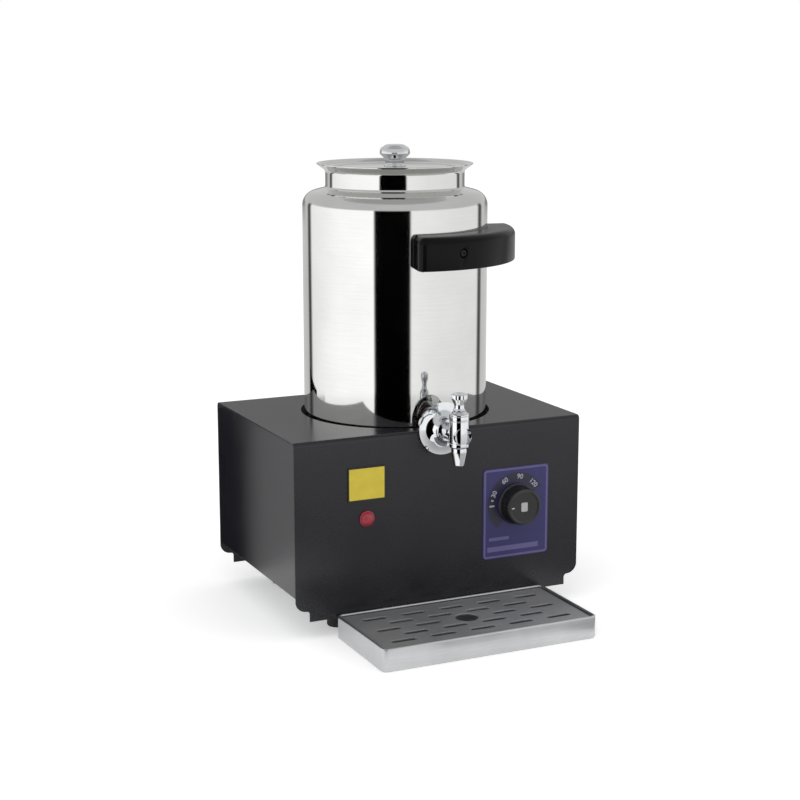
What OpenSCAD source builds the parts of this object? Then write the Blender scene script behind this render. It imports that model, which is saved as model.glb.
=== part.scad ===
// Electric coffee dispenser: a stainless urn with a tap, lowered into a heated
// water bath in a painted sheet-steel casing, with a loose drip tray in front.
// The front faces -Y, up is +Z, and the feet stand on Z = 0.

/* [Casing] */
// Width of the casing
casing_w = 300; // [280:1:360]
// Height of the top panel above the floor
casing_top = 189; // [175:1:230]
// Thickness of the casing sheet
sheet = 1.2; // [0.8:0.1:2]
// Outer radius of the two top bends
bend_r = 4; // [3:0.5:8]
// Height of the side panels' lower edge above the floor
side_clear = 42; // [36:1:50]
// Height of the front and rear panels' lower edge above the floor
skirt_clear = 18; // [10:1:26]
// Width of the notch in each lower corner of the front and rear panels
notch_w = 14; // [10:1:24]
// Height of that notch
notch_h = 10.5; // [8:0.5:22]
// Inner corner radius of that notch
notch_r = 3; // [3:0.5:9]
// Share of the panel's corner above the notch that is rounded off
notch_ease = 1; // [0.3:0.05:1]
// Width of the stiffening lips on the sheet edges
lip_w = 12; // [8:1:16]

/* [Base and feet] */
// Distance of the feet from the casing's sides
foot_inset_x = 55; // [36:1:70]
// Distance of the feet from the casing's front and rear
foot_inset_y = 32; // [24:1:40]
// Radius of a foot at the floor
foot_r = 10; // [7:0.5:14]
// Radius of a foot under the base plate
foot_top_r = 8.5; // [6:0.5:12]
// Height of the wide lower part of a foot
foot_pad_h = 14; // [8:0.5:20]
// Radius of the foot screws
foot_screw_r = 2.5; // [1.5:0.25:3]
// Depth of the screw hole in a foot
foot_screw_depth = 14; // [8:1:24]
// Length of the air slots in the base plate
vent_len = 40; // [20:1:60]
// Width of the air slots in the base plate
vent_w = 5; // [3:0.5:8]

/* [Water bath] */
// Gap between the urn and the hole in the top panel
urn_gap = 3.5; // [2:0.25:6]
// Step from the hole out to the bath's upper wall
bath_step = 1.5; // [0.5:0.25:3]
// Thickness of the bath's sheet
bath_sheet = 1; // [0.6:0.1:1.5]
// Width of the shelf that carries the urn, under the urn
shelf_bearing = 10; // [6:0.5:16]
// Depth of the bath below the shelf
bath_depth = 96; // [70:1:100]
// Width of the bath's top flange outside its wall, at the front and rear
bath_rim = 4; // [3:0.5:20]
// Gap between the bath's top flange and the casing's bends
flange_gap = 1; // [0.5:0.5:4]
// Distance of the studs from the flange's edges
stud_inset = 9; // [6:0.5:12]
// Radius of the flange studs
stud_r = 2.5; // [1.5:0.25:3]
// Length of the flange studs
stud_len = 12; // [9:0.5:20]

/* [Heating] */
// Radius of the heating element's ring
element_ring_r = 52; // [36:1:60]
// Radius of the element's tube
element_r = 4; // [3:0.25:5]
// Height of the ring above the bath's floor
element_rise = 14; // [12:0.5:30]
// Half angle of the gap in the ring
element_gap_angle = 20; // [15:1:40]
// Length of the element's cold legs below the bath's floor
element_leg = 11; // [9:0.5:14]
// Length of the element's terminal pins
element_pin = 8; // [4:0.5:9]
// Distance of the thermostat and its knob from the casing's right side
thermostat_inset = 70; // [45:1:85]
// Height of the thermostat's shaft above the floor
thermostat_z = 108; // [95:1:125]
// Side of the thermostat's body
thermostat_w = 34; // [28:1:40]
// Depth of the thermostat's body
thermostat_d = 36; // [26:1:40]
// Radius of the thermostat's shaft
shaft_r = 3; // [2:0.25:4]
// Radius of the sensor bulb
bulb_r = 3; // [2:0.25:4]
// Length of the sensor bulb
bulb_len = 60; // [40:1:75]
// Direction of the sensor bulb round the bath
bulb_angle = -30; // [-40:1:-20]
// Radius of the capillary tube
capillary_r = 0.9; // [0.6:0.1:1.4]

/* [Front panel] */
// Radius of the thermostat knob's skirt
knob_r = 20.5; // [18.5:0.5:26]
// Radius of the thermostat knob's face
knob_face_r = 18; // [12:0.5:18.5]
// Depth of the thermostat knob
knob_depth = 17; // [12:0.5:24]
// Spacing of the thermostat's fixing screws
thermostat_pitch = 28; // [24:0.5:30]
// Width of the dial plate
dial_w = 72; // [56:1:84]
// Height of the dial plate
dial_h = 90; // [70:1:110]
// Drop of the dial plate's centre below the thermostat's shaft
dial_drop = 8.5; // [0:0.5:14]
// Corner radius of the dial plate
dial_r = 4; // [1:0.5:8]
// Thickness of the dial and label plates
plate_t = 0.8; // [0.4:0.1:1.5]
// Distance of the pilot lamp from the casing's left side
lamp_inset = 72; // [45:1:90]
// Height of the pilot lamp above the floor
lamp_z = 111; // [95:1:122]
// Radius of the pilot lamp's lens
lamp_r = 7.5; // [6.5:0.25:10]
// Radius of the pilot lamp's body
lamp_body_r = 5.5; // [4:0.25:5.75]
// Length of the pilot lamp's body behind the panel
lamp_len = 28; // [18:1:32]
// Width of the label plate
label_w = 38.5; // [20:0.5:50]
// Height of the label plate
label_h = 32.5; // [20:0.5:36]
// Height of the label plate's centre above the floor
label_z = 144.5; // [138:0.5:155]

/* [Rear panel] */
// Distance of the cable gland from the casing's left side
gland_inset = 45; // [40:1:60]
// Height of the cable gland above the floor
gland_z = 75; // [66:1:110]
// Radius of the gland's thread
gland_r = 8; // [6:0.25:10]
// Radius of the gland's bore
gland_bore_r = 4.5; // [3:0.25:5]
// Distance of the panel screws from the top panel and the lower edge
panel_screw_inset = 24; // [16:1:40]
// Radius of the small sheet screws
sheet_screw_r = 1.75; // [1.25:0.25:2.5]

/* [Urn] */
// Outer radius of the urn
urn_r = 90; // [84:0.5:92]
// Thickness of the urn's sheet
urn_sheet = 1; // [0.6:0.1:1.6]
// Depth of the urn below the top panel
urn_dip = 21; // [16:0.5:26]
// Height of the urn's straight wall
urn_wall_h = 222; // [160:1:260]
// Radius of the bend at the urn's foot
urn_foot_r = 6; // [3:0.5:8]
// Radius of the shoulder's bend
shoulder_r = 16; // [10:0.5:18]
// Angle through which the shoulder bends
shoulder_angle = 76; // [65:1:82]
// Outer radius of the neck
neck_r = 67.5; // [58:0.5:68]
// Radius of the bend between the shoulder and the neck
neck_bend_r = 3; // [2:0.25:5]
// Height of the neck above its bend
neck_h = 12; // [8:0.5:24]
// Radius of the bend between the neck and the flared lip
flare_bend_r = 4; // [3:0.25:7]
// Angle through which the lip flares
flare_angle = 52; // [40:1:60]
// Outer radius of the flared lip
rim_r = 75.5; // [73:0.5:80]

/* [Lid] */
// Thickness of the lid's sheet
lid_sheet = 1; // [0.6:0.1:1.5]
// Overlap of the lid's edge on the flare
lid_overlap = 3; // [2:0.25:4]
// Depth of the lid's locating skirt
lid_skirt = 10; // [6:0.5:16]
// Radius of the lid knob's cap
lid_knob_r = 14.8; // [11:0.1:18]
// Radius of the lid knob's stem
lid_stem_r = 9.5; // [6:0.1:10.5]
// Height of the lid knob
lid_knob_h = 21; // [16:0.5:30]
// Radius of the lid knob's screw
lid_screw_r = 2.5; // [1.5:0.25:3]

/* [Side grip] */
// Direction of the grip round the urn
grip_angle = -56; // [-60:1:-20]
// Half of the angle that the grip spans
grip_span = 48; // [24:1:52]
// Reach of the grip outside the urn
grip_reach = 27; // [22:0.5:40]
// Height of the grip
grip_h = 31; // [28:1:50]
// Height of the grip's middle above the urn's foot
grip_z = 187; // [100:1:190]
// Wall thickness of the grip
grip_wall = 5; // [3:0.25:6]
// Radius of the grip's outer edges
grip_round = 2.5; // [1:0.25:2.75]
// Half of the angle between the grip's two posts
grip_post_angle = 26; // [12:1:28]
// Radius of the grip's posts
grip_post_r = 5; // [4:0.25:7]
// Radius of the grip's screws
grip_screw_r = 2; // [1.5:0.25:2.5]
// Depth of the counterbores for the grip's screws
grip_screw_sink = 2.6; // [2.4:0.1:3]

/* [Tap] */
// Height of the tap above the urn's foot
tap_rise = 22; // [21:0.5:40]
// Radius of the welded boss that holds the tap
boss_r = 17; // [15:0.5:19]
// Gap round the boss in the casing's slot
slot_gap = 1; // [0.5:0.25:1.5]
// Thickness of the boss outside the urn's wall
boss_out = 3; // [2:0.25:4]
// Thickness of the boss inside the urn's wall
boss_in = 5; // [4:0.25:8]
// Radius of the tap's threaded tail and barrel
barrel_r = 8; // [6.5:0.25:9]
// Radius of the tap's waterway
waterway_r = 4.5; // [3:0.25:4.75]
// Thickness of the tap's gaskets
gasket_t = 2; // [1:0.25:2.5]
// Radius of the tap's gaskets
gasket_r = 13; // [11.5:0.5:15]
// Distance of the spout from the front panel
spout_reach = 35; // [32:0.5:50]
// Outer radius of the spout
spout_r = 9.3; // [8.5:0.1:11]
// Radius of the plug in the spout
plug_r = 6; // [5.5:0.1:6.5]
// Height of the spout above the tap's axis
spout_up = 19; // [12:0.5:26]
// Height of the spout below the tap's axis
spout_down = 11.5; // [11:0.25:16]
// Length of the nozzle
nozzle_len = 17; // [12:0.5:24]
// Radius of the nozzle at its top
nozzle_top_r = 7.4; // [7:0.1:8]
// Radius of the nozzle at its mouth
nozzle_r = 4.8; // [4.4:0.1:6]
// Radius of the bell-shaped rosette
rosette_r = 25; // [20.5:0.5:30]
// Depth of the rosette
rosette_d = 11; // [6:0.5:14]
// Height of the tap's bonnet
bonnet_h = 4; // [3:0.25:6]
// Height of the tap's handle
handle_h = 16; // [12:0.5:24]
// Radius of the tap's handle at its waist
handle_waist_r = 4.9; // [4.3:0.1:6]
// Radius of the tap's handle at its flared top
handle_r = 7.5; // [6.5:0.1:12]

/* [Drip tray] */
// Width of the tray
tray_w = 220; // [160:1:280]
// Depth of the tray
tray_d = 106; // [80:1:140]
// Height of the tray
tray_h = 22; // [16:0.5:30]
// Corner radius of the tray
tray_r = 6; // [4:0.5:12]
// Thickness of the tray's sheet
tray_sheet = 1; // [0.6:0.1:1.5]
// Width of the folded rim of the tray
tray_rim = 2.5; // [1.5:0.25:4]
// Gap between the tray and the front panel
tray_gap = 0.5; // [0.3:0.1:0.9]
// Drop of the grille below the tray's rim
grille_drop = 2; // [1:0.25:4]
// Thickness of the grille
grille_t = 1.5; // [1:0.1:2]
// Gap round the grille
grille_gap = 0.6; // [0.4:0.1:1]
// Length of the grille's slots
slot_len = 25; // [14:1:32]
// Width of the grille's slots
slot_w = 6; // [2:0.1:8]
// Spacing of the slots along a row
slot_pitch = 40; // [36:1:60]
// Spacing of the rows
row_pitch = 16; // [10:0.5:24]
// Radius of the hole in the middle of the grille
drain_r = 11; // [6:0.5:14]

/* [Hidden] */
$fn = 64;

// Clearances: turning fits, fixed fits, faces that must not touch, and cutter overshoot
turn_fit = 0.05;
fixed_fit = 0.1;
face_gap = 0.3;
over = 1;
arc_steps = 10;

// Screw head and nut proportions, as multiples of the screw's radius
head_k = 1.9;
head_h_k = 1.1;
nut_k = 1.85;
nut_h_k = 1.6;
ring_nut_k = 1.6;

// Radii of the urn's hole, its bath and the shelf
hole_r = urn_r + urn_gap;
bath_r = hole_r + bath_step;
shelf_r = urn_r - shelf_bearing;

// Main planes of the casing, which is as deep as the bath needs
half_w = casing_w / 2;
flange_half = bath_r + bath_sheet + bath_rim;
half_d = flange_half + flange_gap + bend_r;
casing_d = 2 * half_d;
top_in = casing_top - sheet;
side_in = half_w - sheet;
wall_in = half_d - sheet;
base_low = side_clear + sheet;
base_top = base_low + sheet;
lip_in = wall_in - fixed_fit - sheet - fixed_fit;

// Rounded shoulder over each corner notch; it meets the panel's edge at a slant
shoulder_slant = 0.98;
shoulder_least = 1;
notch_room = min(notch_w - notch_r, side_clear - skirt_clear - notch_h);
notch_shoulder = notch_ease * max(shoulder_least, notch_room);
shoulder_side = shoulder_slant * notch_shoulder;

// Places of the feet and the front and rear fittings
foot_x = half_w - foot_inset_x;
foot_y = half_d - foot_inset_y;
thermostat_x = half_w - thermostat_inset;
lamp_x = half_w - lamp_inset;
gland_x = half_w - gland_inset;

// Urn and tap levels
urn_floor = casing_top - urn_dip;
tap_z = urn_floor + tap_rise;
slot_r = boss_r + slot_gap;
shoulder_z = urn_floor + urn_wall_h;

// Water bath
bath_floor = urn_floor - bath_depth;
bath_under = bath_floor - bath_sheet;
stud_at = flange_half - stud_inset;

// Heating element
element_z = bath_floor + element_rise;
leg_x = element_ring_r * sin(element_gap_angle);
leg_y = element_ring_r * cos(element_gap_angle);
leg_wall = 0.75;
leg_r = element_r + leg_wall;
bush_wall = 2;
bush_r = leg_r + bush_wall;
bush_rim = 4;
bush_flange_r = bush_r + bush_rim;
bush_flange_t = 3;
seal_t = 2;
element_nut_h = 5;
leg_end = bath_under - element_leg;
pin_r = element_r / 2;
pin_end = leg_end - element_pin;

// Thermostat, sensor and dial
dial_z = thermostat_z - dial_drop;
dial_face = -half_d - plate_t;
bulb_at = shelf_r + bath_sheet + bulb_r + fixed_fit;
bulb_x = bulb_at * cos(bulb_angle);
bulb_y = bulb_at * sin(bulb_angle);
bulb_rise = 37;
bulb_top = thermostat_z + bulb_rise;
clip_h = 12;
clip_w = 14;
clip_wall = 3;
therm_screw_r = 2;
therm_screw_bite = 9;
blade_w = 6;
blade_t = 4.5;
blade_h = 6;
blade_at = thermostat_w / 4;
blade_back = 23.5;
knob_gap = 0.6;
knob_back = dial_face - knob_gap;
knob_front = knob_back - knob_depth;
knob_hub_wall = 3;
knob_hub_r = shaft_r + knob_hub_wall;
knob_web = 5;
knob_wall = 1.5;
knob_edge = 1.5;
knob_flare = 0.9;
shaft_in = thermostat_d / 2;
shaft_tip = knob_web / 2;
shaft_play = 2;
shaft_hole_r = shaft_r + shaft_play;
capillary_rise = 7;
capillary_out = 10;

// Pilot lamp and small front and rear fittings
lens_flange = 2;
lens_dome = 4;
lamp_wall = 1.3;
lens_spigot_r = lamp_body_r - lamp_wall - fixed_fit;
lens_spigot = 4;
lamp_nut_h = 3;
lamp_blade = 6;
lamp_blade_t = 1;
gland_hex_k = 1.45;
gland_hex = gland_hex_k * gland_r;
gland_flange = 6;
gland_dome = 11;
gland_dome_side = 6.5;
gland_dome_inset = 1.75;
gland_mouth = 2;
gland_thread = 13;
gland_nut_h = 4;

// Terminal block and the leads inside the casing
block_x = -gland_x;
block_y = 20;
block_size = [40, 18, 16];
block_pitch = 12;
block_hole_r = 2.2;
block_screw_h = 6;
lead_r = 1.2;
lead_rise = 4;
lead_z = base_top + lead_rise;
lead_gap = 8;
lamp_lead_gap = 5;
block_wire_z = base_top + block_size[2] / 2;
lamp_back = -wall_in + lamp_len + lamp_blade;
therm_under = thermostat_z - thermostat_w / 2;
blade_low = therm_under - blade_h;
blade_y = -wall_in + blade_back;
blade_mid = blade_y + blade_t / 2;
lead_front = -foot_y - lead_gap;

// Tap along its axis, measured from the urn's axis towards the front
boss_face = urn_r + boss_out;
boss_inner = urn_r - boss_in;
collar_back = boss_face + gasket_t;
collar_t = 4;
rosette_gap = 1;
rosette_back = half_d + rosette_gap;
rosette_rim = 1.5;
rosette_neck = barrel_r + 2;
spout_at = half_d + spout_reach;
lock_nut_h = 7;
lock_nut_k = 1.7;
lock_nut_r = lock_nut_k * barrel_r;
tail_spare = 3;
tail_end = boss_inner - gasket_t - lock_nut_h - tail_spare;
spout_top = tap_z + spout_up;
spout_low = tap_z - spout_down;
plug_floor = 2.5;
plug_low = tap_z - waterway_r - plug_floor;
plug_gap = 0.2;
socket_depth = 3.5;
spigot_step = 0.6;
spigot_r = plug_r - spigot_step;
nozzle_wall = 1.2;
nozzle_collar = 4.25;
port_step = 0.75;
port_r = waterway_r - port_step;
stem_r = plug_r / 2;
bonnet_edge = 1.2;
bonnet_top = spout_top + bonnet_h;
handle_low = bonnet_top + face_gap;
handle_top = handle_low + handle_h;
handle_screw_r = 1.5;
handle_screw_len = 3;
handle_well = 4;
stem_top = handle_top - handle_well;
handle_bead = 0.8;
waist_low = 2;
waist_high = 6;
flare_low = 10;
flare_edge = 1;
flute_count = 8;
flute_r = 1.65;
flute_depth = 0.65;

// Urn outline: tangent points of the shoulder, the neck and the flare
slope_r = cos(shoulder_angle);
slope_z = sin(shoulder_angle);
shoulder_in = urn_r - shoulder_r;
bend_in = neck_r + neck_bend_r;
shoulder_run = (shoulder_in - bend_in + (shoulder_r + neck_bend_r) * slope_r) / slope_z;
bend_z = shoulder_z + (shoulder_r + neck_bend_r) * slope_z + shoulder_run * slope_r;
flare_z = bend_z + neck_h;
flare_in = neck_r + flare_bend_r;
flare_r1 = flare_in - flare_bend_r * cos(flare_angle);
flare_z1 = flare_z + flare_bend_r * sin(flare_angle);
flare_run = (rim_r - flare_r1) / sin(flare_angle);
rim_z = flare_z1 + flare_run * cos(flare_angle);
mouth_r = neck_r - urn_sheet;

// Lid, seated on the inside of the flare
lid_r = mouth_r + lid_overlap;
seat_r = lid_r + face_gap;
inner_r1 = flare_in - (flare_bend_r + urn_sheet) * cos(flare_angle);
inner_z1 = flare_z + (flare_bend_r + urn_sheet) * sin(flare_angle);
lid_z = inner_z1 + (seat_r - inner_r1) / tan(flare_angle);
lid_top = lid_z + lid_sheet;
lid_skirt_r = mouth_r - face_gap;
stem_bead = 1;
stem_foot = 2.5;
stem_h = 6.5;
cap_low = lid_top + stem_h + stem_bead;
cap_side = 5;
cap_mid = cap_low + cap_side;
lid_knob_top = lid_top + lid_knob_h;
lid_screw_bite = 10;

// Grip
grip_r = urn_r + grip_reach;
grip_mid = urn_floor + grip_z;
grip_low = grip_mid - grip_h / 2;
grip_top = grip_mid + grip_h / 2;
grip_seat_r = urn_r + fixed_fit;
grip_end = asin(grip_wall / grip_r);
grip_post_solid = 4;
grip_screw_seat = grip_r - grip_screw_sink;
grip_screw_len = grip_reach - grip_screw_sink - grip_post_solid - 2 * over;
grip_sink_gap = 0.4;

// Drip tray
tray_back = half_d + tray_gap;
tray_mid = tray_back + tray_d / 2;
grille_top = tray_h - grille_drop;
grille_low = grille_top - grille_t;
grille_edge = tray_sheet + tray_rim + grille_gap;
grille_w = tray_w - 2 * grille_edge;
grille_d = tray_d - 2 * grille_edge;
grille_r = max(tray_r - grille_edge, over);
slot_margin = 8;
row_count = floor((grille_d / 2 - slot_margin) / row_pitch);
slot_count = floor((grille_w / 2 - slot_margin - slot_len / 2) / slot_pitch);

// The origin lies under the middle of the whole outline
reach_front = tray_back + tray_d;
reach_rear = half_d + gland_flange + gland_dome;
shift_y = (reach_front - reach_rear) / 2;

// Shapes that several sub-parts share

function arc(c, r, a0, a1) = [
    for (i = [0 : arc_steps])
        let (a = a0 + (a1 - a0) * i / arc_steps)
        [c[0] + r * cos(a), c[1] + r * sin(a)]
];

function reversed(list) = [for (i = [len(list) - 1 : -1 : 0]) list[i]];

// Moves the finished pieces so that the outline's middle is over the origin
module placed() {
    translate([0, shift_y, 0])
        children();
}

// Turns +Z to face the front, or the rear
module to_front() {
    rotate([90, 0, 0])
        children();
}

module to_rear() {
    rotate([-90, 0, 0])
        children();
}

module four_corners(x, y) {
    for (sx = [-1, 1], sy = [-1, 1])
        translate([sx * x, sy * y, 0])
            children();
}

module rounded_rect(w, h, r) {
    square([w - 2 * r, h], center = true);
    square([w, h - 2 * r], center = true);
    for (sx = [-1, 1], sy = [-1, 1])
        translate([sx * (w / 2 - r), sy * (h / 2 - r)])
            circle(r);
}

module slot_2d(length, width) {
    square([length - width, width], center = true);
    for (s = [-1, 1])
        translate([s * (length - width) / 2, 0])
            circle(width / 2);
}

module tube(r, bore, h) {
    difference() {
        cylinder(r = r, h = h);
        translate([0, 0, -over])
            cylinder(r = bore, h = h + 2 * over);
    }
}

// Hexagon nut with its rear face on Z = 0
module hex_nut(r, bore, h) {
    difference() {
        cylinder(r = r, h = h, $fn = 6);
        translate([0, 0, -over])
            cylinder(r = bore, h = h + 2 * over);
    }
}

// Pan-head screw whose head sits on Z = 0 and whose shank points down
module screw(r, length) {
    head_r = r * head_k;
    head_h = r * head_h_k;
    edge = head_h / 3;
    rotate_extrude()
        polygon([
            [0, -length], [r, -length], [r, 0], [head_r, 0], [head_r, head_h - edge],
            [head_r - edge, head_h], [0, head_h]
        ]);
}

// Lead that runs straight from point to point with round corners
module run(points, r) {
    for (i = [0 : len(points) - 2]) {
        d = points[i + 1] - points[i];
        length = norm(d);
        translate(points[i])
            rotate([0, acos(d[2] / length), atan2(d[1], d[0])])
                cylinder(r = r, h = length, $fn = 24);
    }
    for (i = [1 : len(points) - 2])
        translate(points[i])
            sphere(r, $fn = 24);
}

// Slot in the front and top of the casing for the tap
module tap_slot() {
    translate([0, -half_d - over, tap_z])
        to_rear()
            cylinder(r = slot_r, h = half_d);
    translate([-slot_r, -half_d - over, tap_z])
        cube([2 * slot_r, half_d, urn_dip + over]);
}

// Casing

module wrap_section(inset) {
    r = bend_r - inset;
    side = half_d - inset;
    high = casing_top - inset;
    translate([-side, 0])
        square([2 * side, high - r]);
    translate([-side + r, 0])
        square([2 * (side - r), high]);
    for (s = [-1, 1])
        translate([s * (side - r), high - r])
            circle(r);
}

module corner_notches() {
    for (s = [-1, 1])
        translate([s * half_w, 0, skirt_clear])
            to_front()
                linear_extrude(casing_d + 2 * over, center = true)
                    notch_outline();
}

// Outline of a notch about the panel's lower corner, with the rounded shoulder above it
module notch_outline() {
    rounded_rect(2 * notch_w, 2 * notch_h, notch_r);
    difference() {
        translate([-shoulder_side, 0])
            square([2 * shoulder_side, notch_h + notch_shoulder]);
        for (s = [-1, 1])
            translate([s * shoulder_side, notch_h + notch_shoulder])
                circle(notch_shoulder);
    }
}

module casing_wrap() {
    color("#2b2b2e")
        difference() {
            rotate([90, 0, 90])
                linear_extrude(casing_w, center = true)
                    difference() {
                        wrap_section(0);
                        wrap_section(sheet);
                        translate([-half_d - over, -over])
                            square([casing_d + 2 * over, skirt_clear + over]);
                    }
            corner_notches();
            translate([0, 0, top_in - over])
                cylinder(r = hole_r, h = sheet + 2 * over);
            tap_slot();
            translate([thermostat_x, -half_d - over, thermostat_z])
                to_rear()
                    cylinder(r = shaft_hole_r, h = sheet + 2 * over);
            thermostat_screw_places()
                cylinder(r = therm_screw_r + fixed_fit, h = 2 * (sheet + plate_t + over), center = true);
            translate([-lamp_x, -half_d - over, lamp_z])
                to_rear()
                    cylinder(r = lamp_body_r + fixed_fit, h = sheet + 2 * over);
            translate([-gland_x, wall_in - over, gland_z])
                to_rear()
                    cylinder(r = gland_r + fixed_fit, h = sheet + 2 * over);
            panel_screw_places()
                cylinder(r = sheet_screw_r + fixed_fit, h = 2 * (sheet + over), center = true);
        }
}

module panel_screw_places() {
    for (s = [-1, 1], z = [side_clear + panel_screw_inset, casing_top - panel_screw_inset])
        translate([s * (side_in - lip_w / 2), half_d, z])
            to_rear()
                children();
}

// Side panel on the +X side: a pan with lips along the front, rear and lower edges
module side_panel() {
    depth = wall_in - fixed_fit;
    difference() {
        union() {
            translate([side_in, 0, 0])
                rotate([90, 0, 90])
                    linear_extrude(sheet)
                        difference() {
                            wrap_section(sheet + fixed_fit);
                            translate([-half_d, -over])
                                square([casing_d, side_clear + over]);
                        }
            for (s = [-1, 1])
                translate([side_in - lip_w, s * (depth - sheet / 2) - sheet / 2, side_clear])
                    cube([lip_w + sheet / 2, sheet, top_in - bend_r - side_clear]);
            translate([side_in - lip_w, -depth, side_clear])
                cube([lip_w + sheet / 2, 2 * depth, sheet]);
        }
        panel_screw_places()
            cylinder(r = sheet_screw_r + fixed_fit, h = 2 * (2 * sheet + over), center = true);
        base_screw_places()
            cylinder(r = sheet_screw_r + fixed_fit, h = 2 * (2 * sheet + over), center = true);
    }
}

module side_panel_right() {
    color("#303033")
        side_panel();
}

module side_panel_left() {
    color("#303033")
        mirror([1, 0, 0])
            side_panel();
}

module base_screw_places() {
    translate([0, 0, side_clear])
        four_corners(side_in - lip_w / 2, foot_y)
            mirror([0, 0, 1])
                children();
}

module base_plate() {
    vent_pitch = 3 * vent_w;
    color("#4a4a4d")
        difference() {
            translate([-side_in + fixed_fit, -lip_in, base_low])
                cube([2 * (side_in - fixed_fit), 2 * lip_in, sheet]);
            four_corners(foot_x, foot_y)
                cylinder(r = foot_screw_r + fixed_fit, h = base_top + over);
            base_screw_places()
                cylinder(r = sheet_screw_r + fixed_fit, h = 2 * (2 * sheet + over), center = true);
            for (i = [-3 : 3])
                translate([0, i * vent_pitch, base_low - over])
                    linear_extrude(sheet + 2 * over)
                        slot_2d(vent_len, vent_w);
        }
}

module feet() {
    edge = foot_r - foot_top_r;
    color("#151515")
        four_corners(foot_x, foot_y)
            difference() {
                rotate_extrude()
                    polygon([
                        [0, 0], [foot_r - over, 0], [foot_r, over], [foot_r, foot_pad_h],
                        [foot_top_r, foot_pad_h + edge], [foot_top_r, base_low], [0, base_low]
                    ]);
                translate([0, 0, base_low - foot_screw_depth])
                    cylinder(r = foot_screw_r + fixed_fit, h = foot_screw_depth + over);
            }
}

module foot_screws() {
    color("#b9bcc0")
        translate([0, 0, base_top])
            four_corners(foot_x, foot_y)
                screw(foot_screw_r, sheet + foot_screw_depth - over);
}

module base_screws() {
    color("#b9bcc0")
        base_screw_places()
            screw(sheet_screw_r, 2 * sheet + 2 * over);
}

module panel_screws() {
    color("#b9bcc0")
        panel_screw_places()
            screw(sheet_screw_r, 2 * sheet + fixed_fit + 2 * over);
}

// Water bath and heating element

module water_bath() {
    color("#c9ccd0")
        difference() {
            union() {
                rotate_extrude()
                    polygon([
                        [0, bath_under], [shelf_r + bath_sheet, bath_under],
                        [shelf_r + bath_sheet, urn_floor - bath_sheet],
                        [bath_r + bath_sheet, urn_floor - bath_sheet],
                        [bath_r + bath_sheet, top_in], [bath_r, top_in], [bath_r, urn_floor],
                        [shelf_r, urn_floor], [shelf_r, bath_floor], [0, bath_floor]
                    ]);
                translate([0, 0, top_in - bath_sheet])
                    linear_extrude(bath_sheet)
                        difference() {
                            square(2 * flange_half, center = true);
                            circle(bath_r + bath_sheet / 2);
                        }
            }
            tap_slot();
            four_corners(stud_at, stud_at)
                translate([0, 0, top_in - bath_sheet - over])
                    cylinder(r = stud_r + fixed_fit, h = bath_sheet + 2 * over);
            element_legs()
                translate([0, 0, bath_under - over])
                    cylinder(r = bush_r + fixed_fit, h = bath_sheet + 2 * over);
        }
}

module bath_studs() {
    color("#b9bcc0")
        four_corners(stud_at, stud_at)
            translate([0, 0, top_in - stud_len])
                cylinder(r = stud_r, h = stud_len);
}

module bath_nuts() {
    nut_h = stud_r * nut_h_k;
    color("#b9bcc0")
        four_corners(stud_at, stud_at)
            translate([0, 0, top_in - bath_sheet - nut_h])
                hex_nut(stud_r * nut_k, stud_r + fixed_fit, nut_h);
}

module element_legs() {
    for (s = [-1, 1])
        translate([s * leg_x, leg_y, 0])
            children();
}

module heating_element() {
    color("#8a8d91") {
        translate([0, 0, element_z])
            rotate([0, 0, 90 + element_gap_angle])
                rotate_extrude(angle = 360 - 2 * element_gap_angle)
                    translate([element_ring_r, 0])
                        circle(element_r);
        element_legs() {
            translate([0, 0, leg_end])
                cylinder(r = leg_r, h = element_z + leg_r - leg_end);
            translate([0, 0, pin_end])
                cylinder(r = pin_r, h = element_pin + over);
        }
    }
}

module element_bushes() {
    thread = bath_sheet + seal_t + element_nut_h + over;
    color("#b08d4a")
        element_legs()
            translate([0, 0, bath_floor + seal_t]) {
                tube(bush_flange_r, leg_r + fixed_fit, bush_flange_t);
                translate([0, 0, -thread])
                    tube(bush_r, leg_r + fixed_fit, thread + over);
            }
}

module element_seals() {
    color("#3a3a3c")
        element_legs()
            translate([0, 0, bath_floor])
                tube(bush_flange_r, bush_r + fixed_fit, seal_t);
}

module element_nuts() {
    color("#b08d4a")
        element_legs()
            translate([0, 0, bath_under - element_nut_h])
                hex_nut(bush_r * ring_nut_k, bush_r + fixed_fit, element_nut_h);
}

// Thermostat, its sensor and its knob

module thermostat_screw_places() {
    for (s = [-1, 1])
        translate([thermostat_x + s * thermostat_pitch / 2, dial_face, thermostat_z])
            to_front()
                children();
}

module thermostat_body() {
    w = thermostat_w;
    color("#d8d4c8")
        difference() {
            union() {
                translate([thermostat_x - w / 2, -wall_in, thermostat_z - w / 2])
                    cube([w, thermostat_d, w]);
                for (s = [-1, 1])
                    translate([thermostat_x + s * blade_at - blade_w / 2, blade_y, blade_low])
                        cube([blade_w, blade_t, blade_h + over]);
            }
            translate([thermostat_x, -wall_in + shaft_in + turn_fit, thermostat_z])
                to_front()
                    cylinder(r = shaft_r + turn_fit, h = shaft_in + over);
            thermostat_screw_places()
                translate([0, 0, -plate_t - sheet - therm_screw_bite - over])
                    cylinder(r = therm_screw_r + fixed_fit, h = therm_screw_bite + 2 * over);
        }
}

module thermostat_screws() {
    color("#b9bcc0")
        thermostat_screw_places()
            screw(therm_screw_r, plate_t + sheet + therm_screw_bite);
}

module thermostat_shaft() {
    color("#b9bcc0")
        translate([thermostat_x, -wall_in + shaft_in, thermostat_z])
            to_front()
                cylinder(r = shaft_r, h = shaft_in - wall_in - knob_front - shaft_tip);
}

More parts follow.
